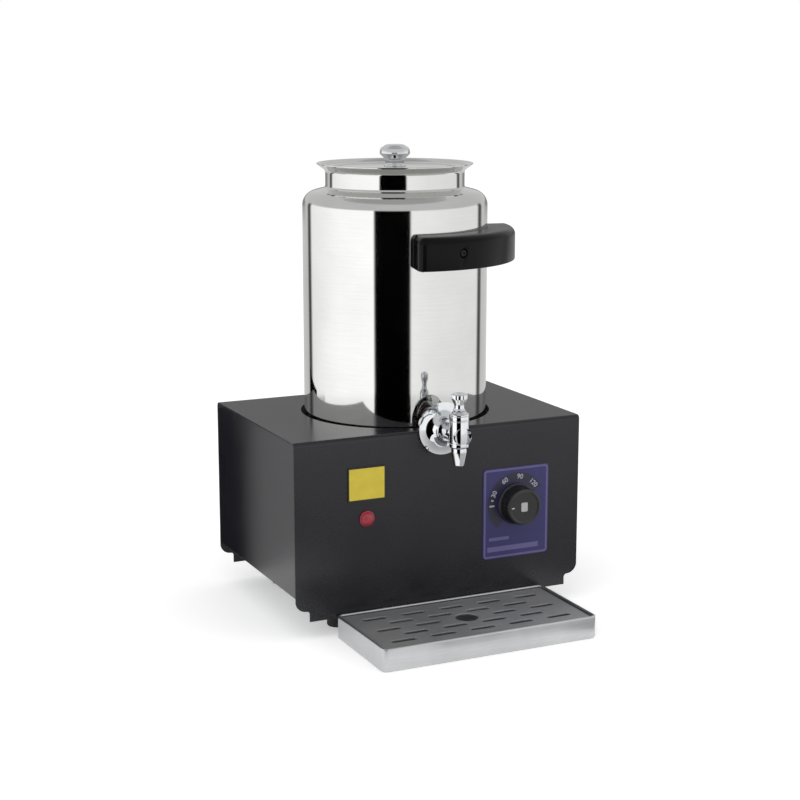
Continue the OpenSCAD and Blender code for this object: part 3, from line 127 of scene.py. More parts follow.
finishes = {
    # satin black stove paint sprayed on sheet steel: faint orange peel, soft reflections
    "blackPaint": {"name": "steelSprayedSatinBlack", "colours": ("#17161b", "#201f25"), "ior": 1.46,
                   "rough": (0.20, 0.28), "grainMm": 1.6, "relief": (0.06, 0.05), "smudgeMm": 70},
    # mirror-polished stainless steel: crisp reflections with faint spun lines round the urn
    "urnSteel": {"name": "stainlessSteelMirrorPolished", "colours": ("#d2d2d0", "#dededc"),
                 "rough": (0.05, 0.08), "grainMm": 30, "stretch": (1, 1, 40), "relief": (0.004, 0.02)},
    # chrome on turned brass: the sharpest and bluest reflections, with finger smudges
    "tapChrome": {"name": "brassChromePlated", "colours": ("#d9dcdf", "#e6e8ea"),
                  "rough": (0.03, 0.09), "grainMm": 6, "relief": (0.015, 0.02), "smudgeMm": 14},
    # stainless sheet brushed along its length: long fine streaks, drawn coarse enough to show
    "traySteel": {"name": "stainlessSteelBrushed", "colours": ("#b6b7b8", "#cfd0d1"),
                  "rough": (0.30, 0.44), "grainMm": 40, "stretch": (1, 34, 34), "relief": (0.10, 0.05)},
    # punched stainless plate, tumbled dull after punching: grey and even
    "grilleSteel": {"name": "stainlessSteelTumbled", "colours": ("#b0b1b3", "#c2c3c5"),
                    "rough": (0.56, 0.68), "grainMm": 1.1, "relief": (0.14, 0.04)},
    # phenolic resin pressed in a polished mould: deep black with a low sheen
    "bakelite": {"name": "phenolicMouldedBlack", "colours": ("#0c0c0d", "#161617"), "ior": 1.58,
                 "rough": (0.30, 0.42), "grainMm": 0.9, "relief": (0.08, 0.04), "smudgeMm": 25},
    # the same resin on the grip, with painted shade: made blacker and given weaker reflections than the
    # knob's, so it shines only at a glance along it
    "gripResinPaintedShade": {"name": "phenolicMouldedPaintedShade", "colours": ("#050506", "#0b0b0c"), "ior": 1.5,
                  "rough": (0.24, 0.32), "grainMm": 0.9, "relief": (0.06, 0.04), "smudgeMm": 25,
                  "shader": {"Specular IOR Level": 0.12}},
    # polyester overlay screen-printed blue on the back: even colour under a thin satin skin
    "dialBlue": {"name": "polyesterPrintedBlue", "colours": ("#282559", "#312d66"), "ior": 1.5,
                 "rough": (0.34, 0.42), "grainMm": 0.8, "relief": (0.06, 0.02)},
    # darker band of the same print, laid over the plate's left and top where the knob casts its shadow:
    # partly print, partly painted shadow
    "dialNavyPrintAndShadow": {"name": "polyesterPrintedNavyAndShadow", "colours": ("#15142c", "#1c1a38"), "ior": 1.57,
                 "rough": (0.36, 0.44), "grainMm": 0.8, "relief": (0.06, 0.02)},
    # violet frame ink of the same print
    "dialViolet": {"name": "polyesterPrintedViolet", "colours": ("#504a7c", "#5f588b"), "ior": 1.57,
                   "rough": (0.40, 0.50), "grainMm": 0.6, "relief": (0.05, 0.02)},
    # pale screen ink for the numbers
    "dialPale": {"name": "inkScreenPrintedPale", "colours": ("#9a98ab", "#aeacbc"), "ior": 1.5,
                 "rough": (0.45, 0.55), "grainMm": 0.5, "relief": (0.05, 0.02)},
    # yellow vinyl film rolled on: slightly mottled, satin
    "labelYellow": {"name": "vinylFilmYellow", "colours": ("#c7b122", "#d5c238"), "ior": 1.53,
                    "rough": (0.38, 0.48), "grainMm": 1.2, "relief": (0.08, 0.03), "smudgeMm": 12},
    # near-black frame line printed round the vinyl's edge
    "labelLine": {"name": "vinylFilmDarkInk", "colours": ("#16140b", "#211d10"), "ior": 1.53,
                  "rough": (0.40, 0.50), "grainMm": 0.6, "relief": (0.05, 0.02)},
    # red polycarbonate, moulded with a frosted face: deep colour and a soft highlight
    "lensRed": {"name": "polycarbonateMouldedRed", "colours": ("#8e1a2b", "#a32639"), "ior": 1.58,
                "rough": (0.34, 0.44), "grainMm": 2.0, "relief": (0.03, 0.03),
                "shader": {"Coat Weight": 0.15, "Coat Roughness": 0.25}},
    # black rubber, pressed: dull and slightly grey
    "footRubber": {"name": "rubberPressedBlack", "colours": ("#141414", "#222222"), "ior": 1.52,
                   "rough": (0.70, 0.85), "grainMm": 0.7, "relief": (0.20, 0.06)},
    # bright zinc on small screws: cool grey with faint blue and yellow patches
    "screwZinc": {"name": "steelZincPlated", "colours": ("#a9adb0", "#c4c3bb"),
                  "rough": (0.22, 0.34), "grainMm": 2.5, "relief": (0.05, 0.02), "smudgeMm": 5},
    # black oxide on the grip's screws: nearly as dark as the grip
    "screwBlack": {"name": "steelBlackOxide", "colours": ("#2a2a2b", "#39393a"),
                   "rough": (0.34, 0.44), "grainMm": 1.2, "relief": (0.06, 0.02)},
    # galvanised sheet under the casing: grey spangle about a centimetre across
    "zincSheet": {"name": "steelSheetGalvanised", "colours": ("#8d9194", "#a9adb0"),
                  "rough": (0.34, 0.52), "grainMm": 9, "relief": (0.05, 0.03), "smudgeMm": 11},
    # drawn stainless sheet of the bath: satin, with drawing lines up the wall
    "bathSteel": {"name": "stainlessSteelDrawn", "colours": ("#b3b5b7", "#c8cacb"),
                  "rough": (0.22, 0.36), "grainMm": 26, "stretch": (22, 22, 1), "relief": (0.06, 0.03)},
    # alloy tube of the heating element, annealed: straw to brown heat tints
    "elementSteel": {"name": "nickelAlloyAnnealed", "colours": ("#6d6660", "#8f8b84"),
                     "rough": (0.36, 0.52), "grainMm": 5, "relief": (0.08, 0.03), "smudgeMm": 18},
    # turned brass fittings: warm, with fine tool rings
    "brass": {"name": "brassTurned", "colours": ("#b08f4c", "#c6a662"),
              "rough": (0.20, 0.32), "grainMm": 4, "stretch": (1, 1, 18), "relief": (0.05, 0.02)},
    # dark fibre seals, pressed: dull, with short fibres
    "sealFibre": {"name": "fibrePressedDark", "colours": ("#1b1917", "#2a2724"), "ior": 1.48,
                  "rough": (0.62, 0.76), "grainMm": 0.8, "relief": (0.16, 0.04)},
    # the same fibre in the tap's gaskets, stained oxblood: dull and reddish
    "gasketFibre": {"name": "fibrePressedOxblood", "colours": ("#30120f", "#421a15"), "ior": 1.48,
                    "rough": (0.60, 0.74), "grainMm": 0.8, "relief": (0.16, 0.04)},
    # thermostat housing, pressed steel with a dull nickel flash: even grey
    "thermostatCase": {"name": "steelNickelFlashed", "colours": ("#9a9b9c", "#b1b2b2"),
                       "rough": (0.30, 0.42), "grainMm": 3, "relief": (0.06, 0.02)},
    # drawn copper tube and bulb: warm with darker tarnish
    "copper": {"name": "copperDrawn", "colours": ("#9a5b38", "#bd7a50"),
               "rough": (0.22, 0.36), "grainMm": 6, "relief": (0.05, 0.02), "smudgeMm": 15},
    # spring steel clip, rolled bright: faint lines along the strip
    "clipSteel": {"name": "springSteelRolled", "colours": ("#8f9296", "#a7aaae"),
                  "rough": (0.24, 0.36), "grainMm": 8, "stretch": (1, 1, 12), "relief": (0.05, 0.02)},
    # lamp body and gland, black nylon moulded matt: soft grey sheen
    "lampPlastic": {"name": "nylonMouldedBlack", "colours": ("#18181a", "#262628"), "ior": 1.53,
                    "rough": (0.44, 0.56), "grainMm": 0.8, "relief": (0.08, 0.03)},
    # terminal block, natural nylon: milky ivory
    "blockPlastic": {"name": "nylonMouldedNatural", "colours": ("#cfc9b8", "#ddd8c8"), "ior": 1.53,
                     "rough": (0.40, 0.50), "grainMm": 1.5, "relief": (0.05, 0.03),
                     "shader": {"Subsurface Weight": 0.15, "Subsurface Radius": (0.002, 0.0016, 0.001)}},
    # pale acetal tab pressed into the dial knob: smooth and faintly waxy
    "inlayPale": {"name": "acetalMouldedPale", "colours": ("#a7a8a8", "#b9baba"), "ior": 1.48,
                  "rough": (0.34, 0.44), "grainMm": 0.9, "relief": (0.05, 0.02)},
}
leadColours = {"Red": ("#8c221c", "#a3302a"), "Blue": ("#1f3f8a", "#2b4f9d"), "Brown": ("#4f3018", "#623d22")}
for colour, pair in leadColours.items():
    # silicone-covered inner leads, extruded: even colour with faint lines along the lead
    finishes["lead" + colour] = {"name": "siliconeExtruded" + colour, "colours": pair, "ior": 1.43,
                                 "rough": (0.42, 0.54), "grainMm": 2, "stretch": (1, 1, 3),
                                 "relief": (0.06, 0.02)}
made = {key: makeFinish(spec) for key, spec in finishes.items()}
print("finishes made:", len(made))


# mesh helpers; every piece is modelled in millimetres and stored in metres

filletLimits = {"straight": 0.01, "reach": 0.49}  # straight corners stay; a fillet takes under half a side


def filletPath(corners, steps=4):
    # corners are (r, z, fillet); a fillet of 0 keeps the corner sharp
    path = []
    for i, corner in enumerate(corners):
        here = Vector(corner[:2])
        fillet = corner[2] if len(corner) > 2 else 0
        if fillet == 0 or i in (0, len(corners) - 1):
            path.append(here)
            continue
        before = Vector(corners[i - 1][:2]) - here
        after = Vector(corners[i + 1][:2]) - here
        half = before.angle(after) / 2
        if half > math.pi / 2 - filletLimits["straight"]:
            path.append(here)
            continue
        most = filletLimits["reach"]
        reach = min(fillet / math.tan(half), most * before.length, most * after.length)
        radius = reach * math.tan(half)
        middle = here + (before.normalized() + after.normalized()).normalized() * radius / math.sin(half)
        start = here + before.normalized() * reach - middle
        end = here + after.normalized() * reach - middle
        turn = start.angle_signed(end)
        for k in range(steps + 1):
            path.append(middle + Matrix.Rotation(-turn * k / steps, 2) @ start)
    return [(p.x, p.y) for p in path]


def offsetCorners(corners, depth):
    # the same outline, moved to its left by depth, for the inside of a sheet
    moved = []
    for i, corner in enumerate(corners):
        here = Vector(corner[:2])
        fillet = corner[2] if len(corner) > 2 else 0
        sides = []
        for a, b in ((i - 1, i), (i, i + 1)):
            if a < 0 or b >= len(corners):
                continue
            run = (Vector(corners[b][:2]) - Vector(corners[a][:2])).normalized()
            sides.append(Vector((-run.y, run.x)))
        if len(sides) == 1:
            moved.append((here.x + sides[0].x * depth, here.y + sides[0].y * depth, 0))
            continue
        shift = (sides[0] + sides[1]) * depth / (1 + sides[0].dot(sides[1]))
        left = sides[0].x * sides[1].y - sides[0].y * sides[1].x > 0
        moved.append((here.x + shift.x, here.y + shift.y, max(fillet + (-depth if left else depth), 0)))
    return moved


def linkObject(name, data):
    piece = bpy.data.objects.new(name, data)
    scene.collection.objects.link(piece)
    return piece


def dropObject(piece):
    mesh = piece.data
    bpy.data.objects.remove(piece)
    bpy.data.meshes.remove(mesh)


def smoothFaces(mesh, crease):
    mesh.shade_smooth()
    mesh.set_sharp_from_angle(angle=math.radians(crease))


def newObject(name, bm, crease=35):
    mesh = bpy.data.meshes.new(name)
    bmesh.ops.remove_doubles(bm, verts=bm.verts, dist=1e-6)
    bmesh.ops.recalc_face_normals(bm, faces=bm.faces)
    bm.to_mesh(mesh)
    bm.free()
    smoothFaces(mesh, crease)
    return linkObject(name, mesh)


def skinRings(bm, rings):
    for low, high in zip(rings, rings[1:]):
        for k in range(len(low)):
            n = (k + 1) % len(low)
            bm.faces.new((low[k], low[n], high[n], high[k]))


def lathe(name, path, steps, shape=None, crease=35):
    # turns the path round local Z; shape(r, z, angle) may bend the surface
    bm = bmesh.new()
    rings = []
    for r, z in path:
        if r < 1e-6:
            rings.append([bm.verts.new((0, 0, z / 1000))])
            continue
        ring = []
        for k in range(steps):
            angle = 2 * math.pi * k / steps
            rr = shape(r, z, angle) if shape else r
            ring.append(bm.verts.new((rr * math.cos(angle) / 1000, rr * math.sin(angle) / 1000, z / 1000)))
        rings.append(ring)
    for low, high in zip(rings, rings[1:]):
        if len(low) == len(high):
            skinRings(bm, [low, high])
            continue
        for k in range(steps):  # one of the two rings is a point on the axis
            n = (k + 1) % steps
            bm.faces.new((low[0], high[n], high[k]) if len(low) == 1 else (low[k], low[n], high[0]))
    return newObject(name, bm, crease)


def ribbed(spec):
    # a shape for lathe: even ribs between two heights
    def bend(r, z, angle):
        if z < spec["ribZ"][0] or z > spec["ribZ"][1] or r < spec["ribR"]:
            return r
        return r - spec["ribDepth"] * max(0, math.cos(spec["ribs"] * angle))
    return bend


def moveMesh(piece, at, turn=None):
    # at is in millimetres; the mesh is moved and the object stays at the origin
    matrix = Matrix.Translation(Vector(at) / 1000)
    piece.data.transform(matrix @ turn.to_4x4() if turn else matrix)
    return piece


def joinMeshes(name, parts):
    bm = bmesh.new()
    for part in parts:
        bm.from_mesh(part.data)
        dropObject(part)
    mesh = bpy.data.meshes.new(name)
    bm.to_mesh(mesh)
    bm.free()
    return linkObject(name, mesh)


def bakeModifiers(piece):
    depsgraph = bpy.context.evaluated_depsgraph_get()
    mesh = bpy.data.meshes.new_from_object(piece.evaluated_get(depsgraph))
    old = piece.data
    piece.modifiers.clear()
    piece.data = mesh
    bpy.data.meshes.remove(old)
    return piece


def cutWith(piece, cutter):
    cut = piece.modifiers.new("cut", "BOOLEAN")
    cut.object = cutter
    cut.operation = "DIFFERENCE"
    cut.solver = "EXACT"
    cut.use_self = True
    bakeModifiers(piece)
    dropObject(cutter)


def softEdges(piece, width, segments=2, angle=30, crease=35):
    bevel = piece.modifiers.new("edges", "BEVEL")
    bevel.width = width / 1000
    bevel.segments = segments
    bevel.limit_method = "ANGLE"
    bevel.angle_limit = math.radians(angle)
    bevel.use_clamp_overlap = False
    bakeModifiers(piece)
    smoothFaces(piece.data, crease)
    flat = piece.modifiers.new("flatFaces", "WEIGHTED_NORMAL")  # large faces stay flat beside the eased edges
    flat.keep_sharp = True
    flat.weight = 100
    return bakeModifiers(piece)


def sheetCopy(node, name, width):
    # a copy of the node's solid with its cut and folded edges eased, as a press brake leaves them
    bm = bmesh.new()
    bm.from_mesh(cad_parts[node].data)
    bmesh.ops.remove_doubles(bm, verts=bm.verts, dist=2e-6)
    bmesh.ops.dissolve_limit(bm, angle_limit=math.radians(0.5), verts=bm.verts, edges=bm.edges)
    return softEdges(newObject(name, bm), width)


def roundedLoop(w, h, r, steps):
    points = []
    for sx, sy, first in ((1, 1, 0), (-1, 1, 90), (-1, -1, 180), (1, -1, 270)):
        for k in range(steps + 1):
            a = math.radians(first + 90 * k / steps)
            points.append((sx * (w / 2 - r) + r * math.cos(a), sy * (h / 2 - r) + r * math.sin(a)))
    return points


def loopRings(bm, w, h, r, layers, steps, leastR):
    # rounded rectangles, one per (inset, z)
    rings = []
    for inset, z in layers:
        loop = roundedLoop(w - 2 * inset, h - 2 * inset, max(r - inset, leastR), steps)
        rings.append([bm.verts.new((x / 1000, y / 1000, z / 1000)) for x, y in loop])
    return rings


def loopStack(name, w, h, r, layers, steps=8, leastR=0.3):
    # layers skinned together and filled at both ends
    bm = bmesh.new()
    rings = loopRings(bm, w, h, r, layers, steps, leastR)
    skinRings(bm, rings)
    bm.faces.new(rings[0][::-1])
    bm.faces.new(rings[-1])
    return newObject(name, bm)


def dress(piece, body, slot, finish, *nodes):
    piece.data.materials.clear()
    piece.data.materials.append(made[finish])
    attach(piece, body)
    if nodes:
        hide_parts(*nodes)
    return piece


def middleOf(node):
    low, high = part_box(node)
    return (low + high) * 500


def sizeOf(node):
    low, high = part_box(node)
    return [(b - a) * 1000 for a, b in zip(low, high)]


def onFront(piece, middle, y):
    # turns local +Z to the front and stands the piece at depth y
    return moveMesh(piece, (middle.x, y, middle.z), toFront)


toFront = Matrix.Rotation(math.radians(90), 3, "X")  # local +Z faces the front
toRear = Matrix.Rotation(math.radians(-90), 3, "X")
yAxis = middleOf("urn_lid").y  # the urn's axis, in millimetres
urnAxis = (0, yAxis / 1000, 0)
tapZ = 190  # height of the tap's axis
frontFace, rearFace = [corner.y * 1000 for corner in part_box("casing_wrap")]


# casing, base and feet

sheetParts = {"casing_wrap": ("casingWrap", 0.35), "side_panel_left": ("sidePanelLeft", 0.3),
              "side_panel_right": ("sidePanelRight", 0.3), "base_plate": ("basePlate", 0.3)}
for node, (name, easeMm) in sheetParts.items():
    coat = ("zinc_sheet", "zincSheet") if node == "base_plate" else ("black_enamel", "blackPaint")
    dress(sheetCopy(node, name, easeMm), "base", *coat, node)

footShape = {"r": 10, "steps": 48,
             "corners": [(0, 1.2), (7.6, 1.2, 0.6), (7.9, 0, 0.6), (9.4, 0, 1.0), (10, 1.4, 1.2),
                         (9.9, 13.4, 1.0), (8.5, 15, 1.0), (8.5, 43.2, 0.4), (0, 43.2)]}
footMid = middleOf("feet")
footX, footY, _ = [length / 2 - footShape["r"] for length in sizeOf("feet")]
feet = []
for sx in (-1, 1):
    for sy in (-1, 1):
        foot = lathe("foot", filletPath(footShape["corners"]), footShape["steps"])
        feet.append(moveMesh(foot, (sx * footX, footMid.y + sy * footY, 0)))
dress(joinMeshes("rubberFeet", feet), "base", "foot_rubber", "footRubber", "feet")


# screws with a cross recess

screwShape = {"head": 1.9, "rise": 1.1,  # shares of the shank's radius; the next are of the head
              "edge": 0.55, "crown": 0.72, "slotLong": 1.05, "slotWide": 0.26, "slotDeep": 1.1, "slotZ": 1.05,
              "slotTaper": 0.8, "firstTurn": 17, "nextTurn": 41}  # turns in degrees


def crossScrew(name, radius, length, spec):
    head = radius * spec["head"]
    rise = radius * spec["rise"]
    corners = [(0, -length), (radius, -length, 0.2), (radius, 0), (head, 0, 0.1),
               (head, rise * spec["edge"], 0.3), (head * spec["crown"], rise, 0.5), (0, rise)]
    piece = lathe(name, filletPath(corners, steps=3), steps=32)
    bm = bmesh.new()
    for turn in (0, 90):
        block = bmesh.ops.create_cube(bm, size=1)["verts"]
        for v in block:
            taper = spec["slotTaper"] if v.co.z < 0 else 1.0
            v.co = Vector((v.co.x * head * spec["slotLong"] * taper,
                           v.co.y * head * spec["slotWide"] * taper,
                           v.co.z * rise * spec["slotDeep"])) / 1000
        bmesh.ops.rotate(bm, verts=block, cent=(0, 0, 0), matrix=Matrix.Rotation(math.radians(turn), 3, "Z"))
        bmesh.ops.translate(bm, verts=block, vec=(0, 0, rise * spec["slotZ"] / 1000))
    cutWith(piece, newObject(name + "Cutter", bm))
    smoothFaces(piece.data, crease=30)
    return piece


def screwSet(name, radius, length, places, body, slot, finish, node):
    pattern = crossScrew(name + "Pattern", radius, length, screwShape)
    parts = []
    for i, (at, turn) in enumerate(places):
        copy = bpy.data.objects.new(name + str(i), pattern.data.copy())
        spin = math.radians(screwShape["firstTurn"] + screwShape["nextTurn"] * i)
        parts.append(moveMesh(copy, at, turn @ Matrix.Rotation(spin, 3, "Z")))
    dropObject(pattern)
    return dress(joinMeshes(name, parts), body, slot, finish, node)


panelScrew = {"r": 1.75, "length": 6}
panelLow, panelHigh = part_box("panel_screws")
panelHead = panelScrew["r"] * screwShape["head"]
panelX = panelHigh.x * 1000 - panelHead
panelZ = (panelLow.z * 1000 + panelHead, panelHigh.z * 1000 - panelHead)
panelPlaces = [((sx * panelX, rearFace, z), toRear) for sx in (-1, 1) for z in panelZ]
screwSet("panelScrews", panelScrew["r"], panelScrew["length"], panelPlaces,
         "base", "plated_screw", "screwZinc", "panel_screws")


# urn: one spun shell, a little thicker at its rolled lip, with the boss that takes the tap

urnShape = {
    "outside": [(0, 168), (90, 168, 6), (90, 402.5, 16), (67.5, 408.1, 3), (67.5, 424.41, 4), (75.5, 430.66)],
    "lip": [(75.9, 430.75), (75.95, 431.25), (75.5, 431.6)],
    "sheet": 1.0, "steps": 192, "crease": 40,
    "boss": [(8.1, 0, 0), (17, 0, 0), (17, 8, 0.8), (8.1, 8, 0.4), (8.1, 0, 0)], "bossBack": 85,
}
outer = filletPath(urnShape["outside"], steps=10)
inner = filletPath(offsetCorners(urnShape["outside"], urnShape["sheet"]), steps=10)
shell = lathe("urnShell", outer + urnShape["lip"] + inner[::-1], urnShape["steps"],
              crease=urnShape["crease"])
moveMesh(shell, (0, yAxis, 0))
boss = lathe("urnBoss", filletPath(urnShape["boss"]), steps=64)
moveMesh(boss, (0, yAxis - urnShape["bossBack"], tapZ), toFront)
dress(joinMeshes("urnShell", [shell, boss]), "urn", "urn_steel", "urnSteel", "urn_body")

lidShape = {
    "plate": [(0, 428.5), (50, 428.5, 3), (54, 427.9, 3), (62, 427.9, 3), (65.5, 428.5, 2),
              (69.5, 428.5, 0.45), (69.5, 427.5, 0.45), (66.2, 427.5, 0.3), (66.2, 417.5, 0.4),
              (65.2, 417.5, 0.4), (65.2, 426.9, 1), (0, 426.9)],
    "knob": [(0, 428.5), (10.9, 428.5, 0.3), (10.9, 429.3, 0.4), (9.4, 430.6, 1.4), (9.4, 434.4, 1.2),
             (10.6, 436.0, 1.0), (14.8, 440.2, 2.2), (14.2, 445.4, 3.4), (8.5, 449.0, 7), (0, 449.5)],
}
lid = lathe("urnLid", filletPath(lidShape["plate"], steps=5), steps=160)
dress(moveMesh(lid, (0, yAxis, 0)), "lid", "urn_steel", "urnSteel", "urn_lid")
lidKnob = lathe("lidKnob", filletPath(lidShape["knob"], steps=8), steps=96)
dress(moveMesh(lidKnob, (0, yAxis, 0)), "lid", "tap_chrome", "tapChrome", "lid_knob")
print("casing, urn and lid built")


# side grip: a pressed hood, open below, with round edges and an eased lower rim

gripShape = {"angle": -56, "halfSpan": 48, "inside": 90.1, "outside": 117, "low": 339.5, "high": 370.5,
             "wall": 5, "edge": 7, "edgeSteps": 6, "rimEdge": 0.9, "rimAngle": 40, "cuts": 60,
             "screwAngle": 26, "screwSink": 2.6, "screwR": 2, "screwLength": 20,
             "well": [(0, -2.6), (4.2, -2.6), (4.2, -0.5), (4.9, 0.25), (4.9, 2), (0, 2)]}


def makeGrip(spec):
    halfRun = spec["halfSpan"] * (math.radians(1) * spec["outside"])  # half the arc at the outside
    bm = bmesh.new()
    for v in bmesh.ops.create_cube(bm, size=1)["verts"]:
        v.co = Vector((v.co.x * 2 * halfRun, spec["inside"] if v.co.y < 0 else spec["outside"],
                       spec["low"] if v.co.z < 0 else spec["high"]))
    bm.normal_update()
    openSides = [f for f in bm.faces if f.normal.z < -0.5 or f.normal.y < -0.5]
    bmesh.ops.delete(bm, geom=openSides, context="FACES_ONLY")
    ridge = [e for e in bm.edges if len(e.link_faces) == 2]
    bmesh.ops.bevel(bm, geom=ridge, offset=spec["edge"], offset_type="OFFSET", segments=spec["edgeSteps"],
                    profile=0.5, affect="EDGES")
    for k in range(1, spec["cuts"]):  # straight slices let the hood bend round the urn
        x = -halfRun + 2 * halfRun * k / spec["cuts"]
        bmesh.ops.bisect_plane(bm, geom=bm.verts[:] + bm.edges[:] + bm.faces[:], plane_co=(x, 0, 0),
                               plane_no=(1, 0, 0), dist=1e-4)
    piece = newObject("sideGrip", bm)
    for v in piece.data.vertices:
        v.co = v.co / 1000
    wall = piece.modifiers.new("wall", "SOLIDIFY")
    wall.thickness = spec["wall"] / 1000
    wall.offset = -1
    wall.use_even_offset = True
    bakeModifiers(piece)
    for v in piece.data.vertices:
        angle = math.radians(spec["angle"]) + v.co.x * 1000 / spec["outside"]
        radius = max(v.co.y * 1000, spec["inside"])
        v.co = Vector((radius * math.cos(angle), radius * math.sin(angle), v.co.z * 1000)) / 1000
    return softEdges(piece, spec["rimEdge"], angle=spec["rimAngle"], crease=spec["rimAngle"])


grip = moveMesh(makeGrip(gripShape), (0, yAxis, 0))
gripPlaces = []
for s in (-1, 1):  # each screw sits in a chamfered well
    a = math.radians(gripShape["angle"] + s * gripShape["screwAngle"])
    outward = Vector((math.cos(a), math.sin(a), 0))
    turn = outward.to_track_quat("Z", "Y").to_matrix()
    at = outward * gripShape["outside"] + Vector((0, yAxis, (gripShape["low"] + gripShape["high"]) / 2))
    cutWith(grip, moveMesh(lathe("gripWell", gripShape["well"], steps=40), at, turn))
    gripPlaces.append((at - outward * gripShape["screwSink"], turn))
smoothFaces(grip.data, crease=30)
# the grip takes the blacker, less reflective copy of the resin, which paints its shade
dress(grip, "urn", "bakelite", "gripResinPaintedShade", "side_grip")
screwSet("gripScrews", gripShape["screwR"], gripShape["screwLength"], gripPlaces, "urn", "plated_screw",
         "screwBlack", "grip_screws")


# tap: turned and chromed, with soft edges and shallow tool grooves

tapShape = {
    "steps": 72, "spoutY": yAxis - 140, "spoutZ": 178.5, "tailBack": yAxis - 73, "bonnetZ": 209,
    "spout": [(4.6, 0), (8.2, 0, 0.5), (9.3, 1.2, 0.7), (9.3, 4.2, 0.2), (9.0, 4.5, 0.2), (9.0, 5.1, 0.2),
              (9.3, 5.4, 0.2), (9.3, 25.2, 0.2), (9.0, 25.5, 0.2), (9.0, 26.1, 0.2), (9.3, 26.4, 0.2),
              (9.3, 30.0, 0.4), (8.9, 30.5, 0.3), (6.1, 30.5), (6.1, 4), (4.6, 4), (4.6, 0)],
    "barrel": [(4.5, 0), (8, 0, 0.4), (8, 30, 0), (13, 30, 0.5), (13, 34, 0.5), (8, 34, 0.3), (8, 59, 2),
               (7.5, 62, 3), (7.5, 69, 3), (8.6, 73, 1), (8.6, 76)],
    "bonnet": [(3.1, 0), (9.3, 0, 0.3), (9.3, 1.3, 0.6), (7.2, 2.6, 1.2), (6.0, 4.0, 0.4), (3.1, 4.0)],
    "handle": [(3.1, 0), (5.7, 0, 0.4), (5.7, 0.8, 0.4), (4.9, 2.2, 1.0), (4.9, 6, 2.0), (6.8, 9.8, 1.5),
               (7.5, 11.2, 1.0), (7.5, 15.0, 0.6), (6.7, 16, 0.6), (4.4, 16, 0.4), (3.0, 12.2), (3.0, 12)],
    "handleZ": 213.3, "flutes": {"count": 8, "depth": 0.65, "fromZ": 6.5, "run": 3, "leastR": 5.0},
    "nozzle": [(3.6, 3.3), (5.4, 3.3), (5.4, 0), (7.4, 0, 0.4), (7.4, -4.25, 1.2), (5.0, -16.2, 0.8),
               (4.6, -17, 0.3), (3.6, -17, 0.2), (3.6, 3.3)],
}
spout = lathe("tapSpout", filletPath(tapShape["spout"]), tapShape["steps"])
moveMesh(spout, (0, tapShape["spoutY"], tapShape["spoutZ"]))
barrel = lathe("tapBarrel", filletPath(tapShape["barrel"], steps=5), tapShape["steps"])
moveMesh(barrel, (0, tapShape["tailBack"], tapZ), toFront)
dress(joinMeshes("tapBody", [spout, barrel]), "urn", "tap_chrome", "tapChrome", "tap_body")

rosetteShape = {"foot": [(8.1, 0), (24.3, 0, 0.5), (25, 0.7, 0.4), (25, 1.6, 0.5)], "bellR": (10, 15),
                "bellZ": (1.6, 9.4), "bellSteps": 16, "neck": [(8.1, 11), (8.1, 0)], "gap": 1}
bell = []
for k in range(1, rosetteShape["bellSteps"] + 1):  # a hollow quarter ellipse from the foot to the neck
    a = math.radians(270 - 90 * k / rosetteShape["bellSteps"])
    (neckR, flare), (footZ, rise) = rosetteShape["bellR"], rosetteShape["bellZ"]
    bell.append((neckR + flare * (1 + math.cos(a)), footZ + rise * (1 + math.sin(a))))
rosette = lathe("tapRosette", filletPath(rosetteShape["foot"]) + bell + rosetteShape["neck"], steps=96)
moveMesh(rosette, (0, frontFace - rosetteShape["gap"], tapZ), toFront)
dress(rosette, "urn", "tap_chrome", "tapChrome", "tap_rosette")
for name, node, part, z in (("tapBonnet", "tap_bonnet", "bonnet", "bonnetZ"),
                            ("tapNozzle", "tap_nozzle", "nozzle", "spoutZ")):
    piece = lathe(name, filletPath(tapShape[part]), tapShape["steps"])
    dress(moveMesh(piece, (0, tapShape["spoutY"], tapShape[z])), "urn", "tap_chrome", "tapChrome", node)


def fluted(r, z, angle):
    # rounded flutes in the flared top
    flutes = tapShape["flutes"]
    if r < flutes["leastR"] or z < flutes["fromZ"]:
        return r
    depth = flutes["depth"] * min((z - flutes["fromZ"]) / flutes["run"], 1)
    return r - depth * max(0, math.cos(flutes["count"] * angle)) ** 2


handle = lathe("tapHandle", filletPath(tapShape["handle"], steps=5), steps=128, shape=fluted)
moveMesh(handle, (0, tapShape["spoutY"], tapShape["handleZ"]))
dress(handle, "tap_valve", "tap_chrome", "tapChrome", "tap_handle")
print("grip and tap built")


# thermostat knob, dial plate and their print

knobShape = {
    "path": [(6, 0.4), (19, 0.4, 0.4), (20.5, 0.4, 0.4), (20.5, 1.7, 0.6), (18.9, 3, 0.5), (18.05, 15.2, 0.4),
             (17.3, 16.7, 1.0), (15.6, 17, 0.5), (14.4, 16.3, 0.6), (0, 16.3)],
    "steps": 288, "ribs": 36, "ribDepth": 0.45, "ribZ": (3.2, 15.6), "ribR": 17, "face": 16.3,
    "inlay": (7, 9, 1.2), "inlayLayers": [(0, -0.3), (0, 0.15), (0.25, 0.4)],
    "pointer": (1.3, 3.4, 0.6), "pointerLayers": [(0, -0.3), (0, 0.15), (0.15, 0.3)], "pointerR": 12.2,
    "offAngle": 181,
}
dialMid = middleOf("thermostat_knob")
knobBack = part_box("thermostat_knob")[1].y * 1000


def onDial(radius, angle, y):
    # a place on the dial's face; 0 degrees is to the right and 90 is up
    a = math.radians(angle)
    return (dialMid.x + radius * math.cos(a), y, dialMid.z + radius * math.sin(a))


def turnedOnDial(angle):
    return toFront @ Matrix.Rotation(math.radians(angle - 90), 3, "Z")


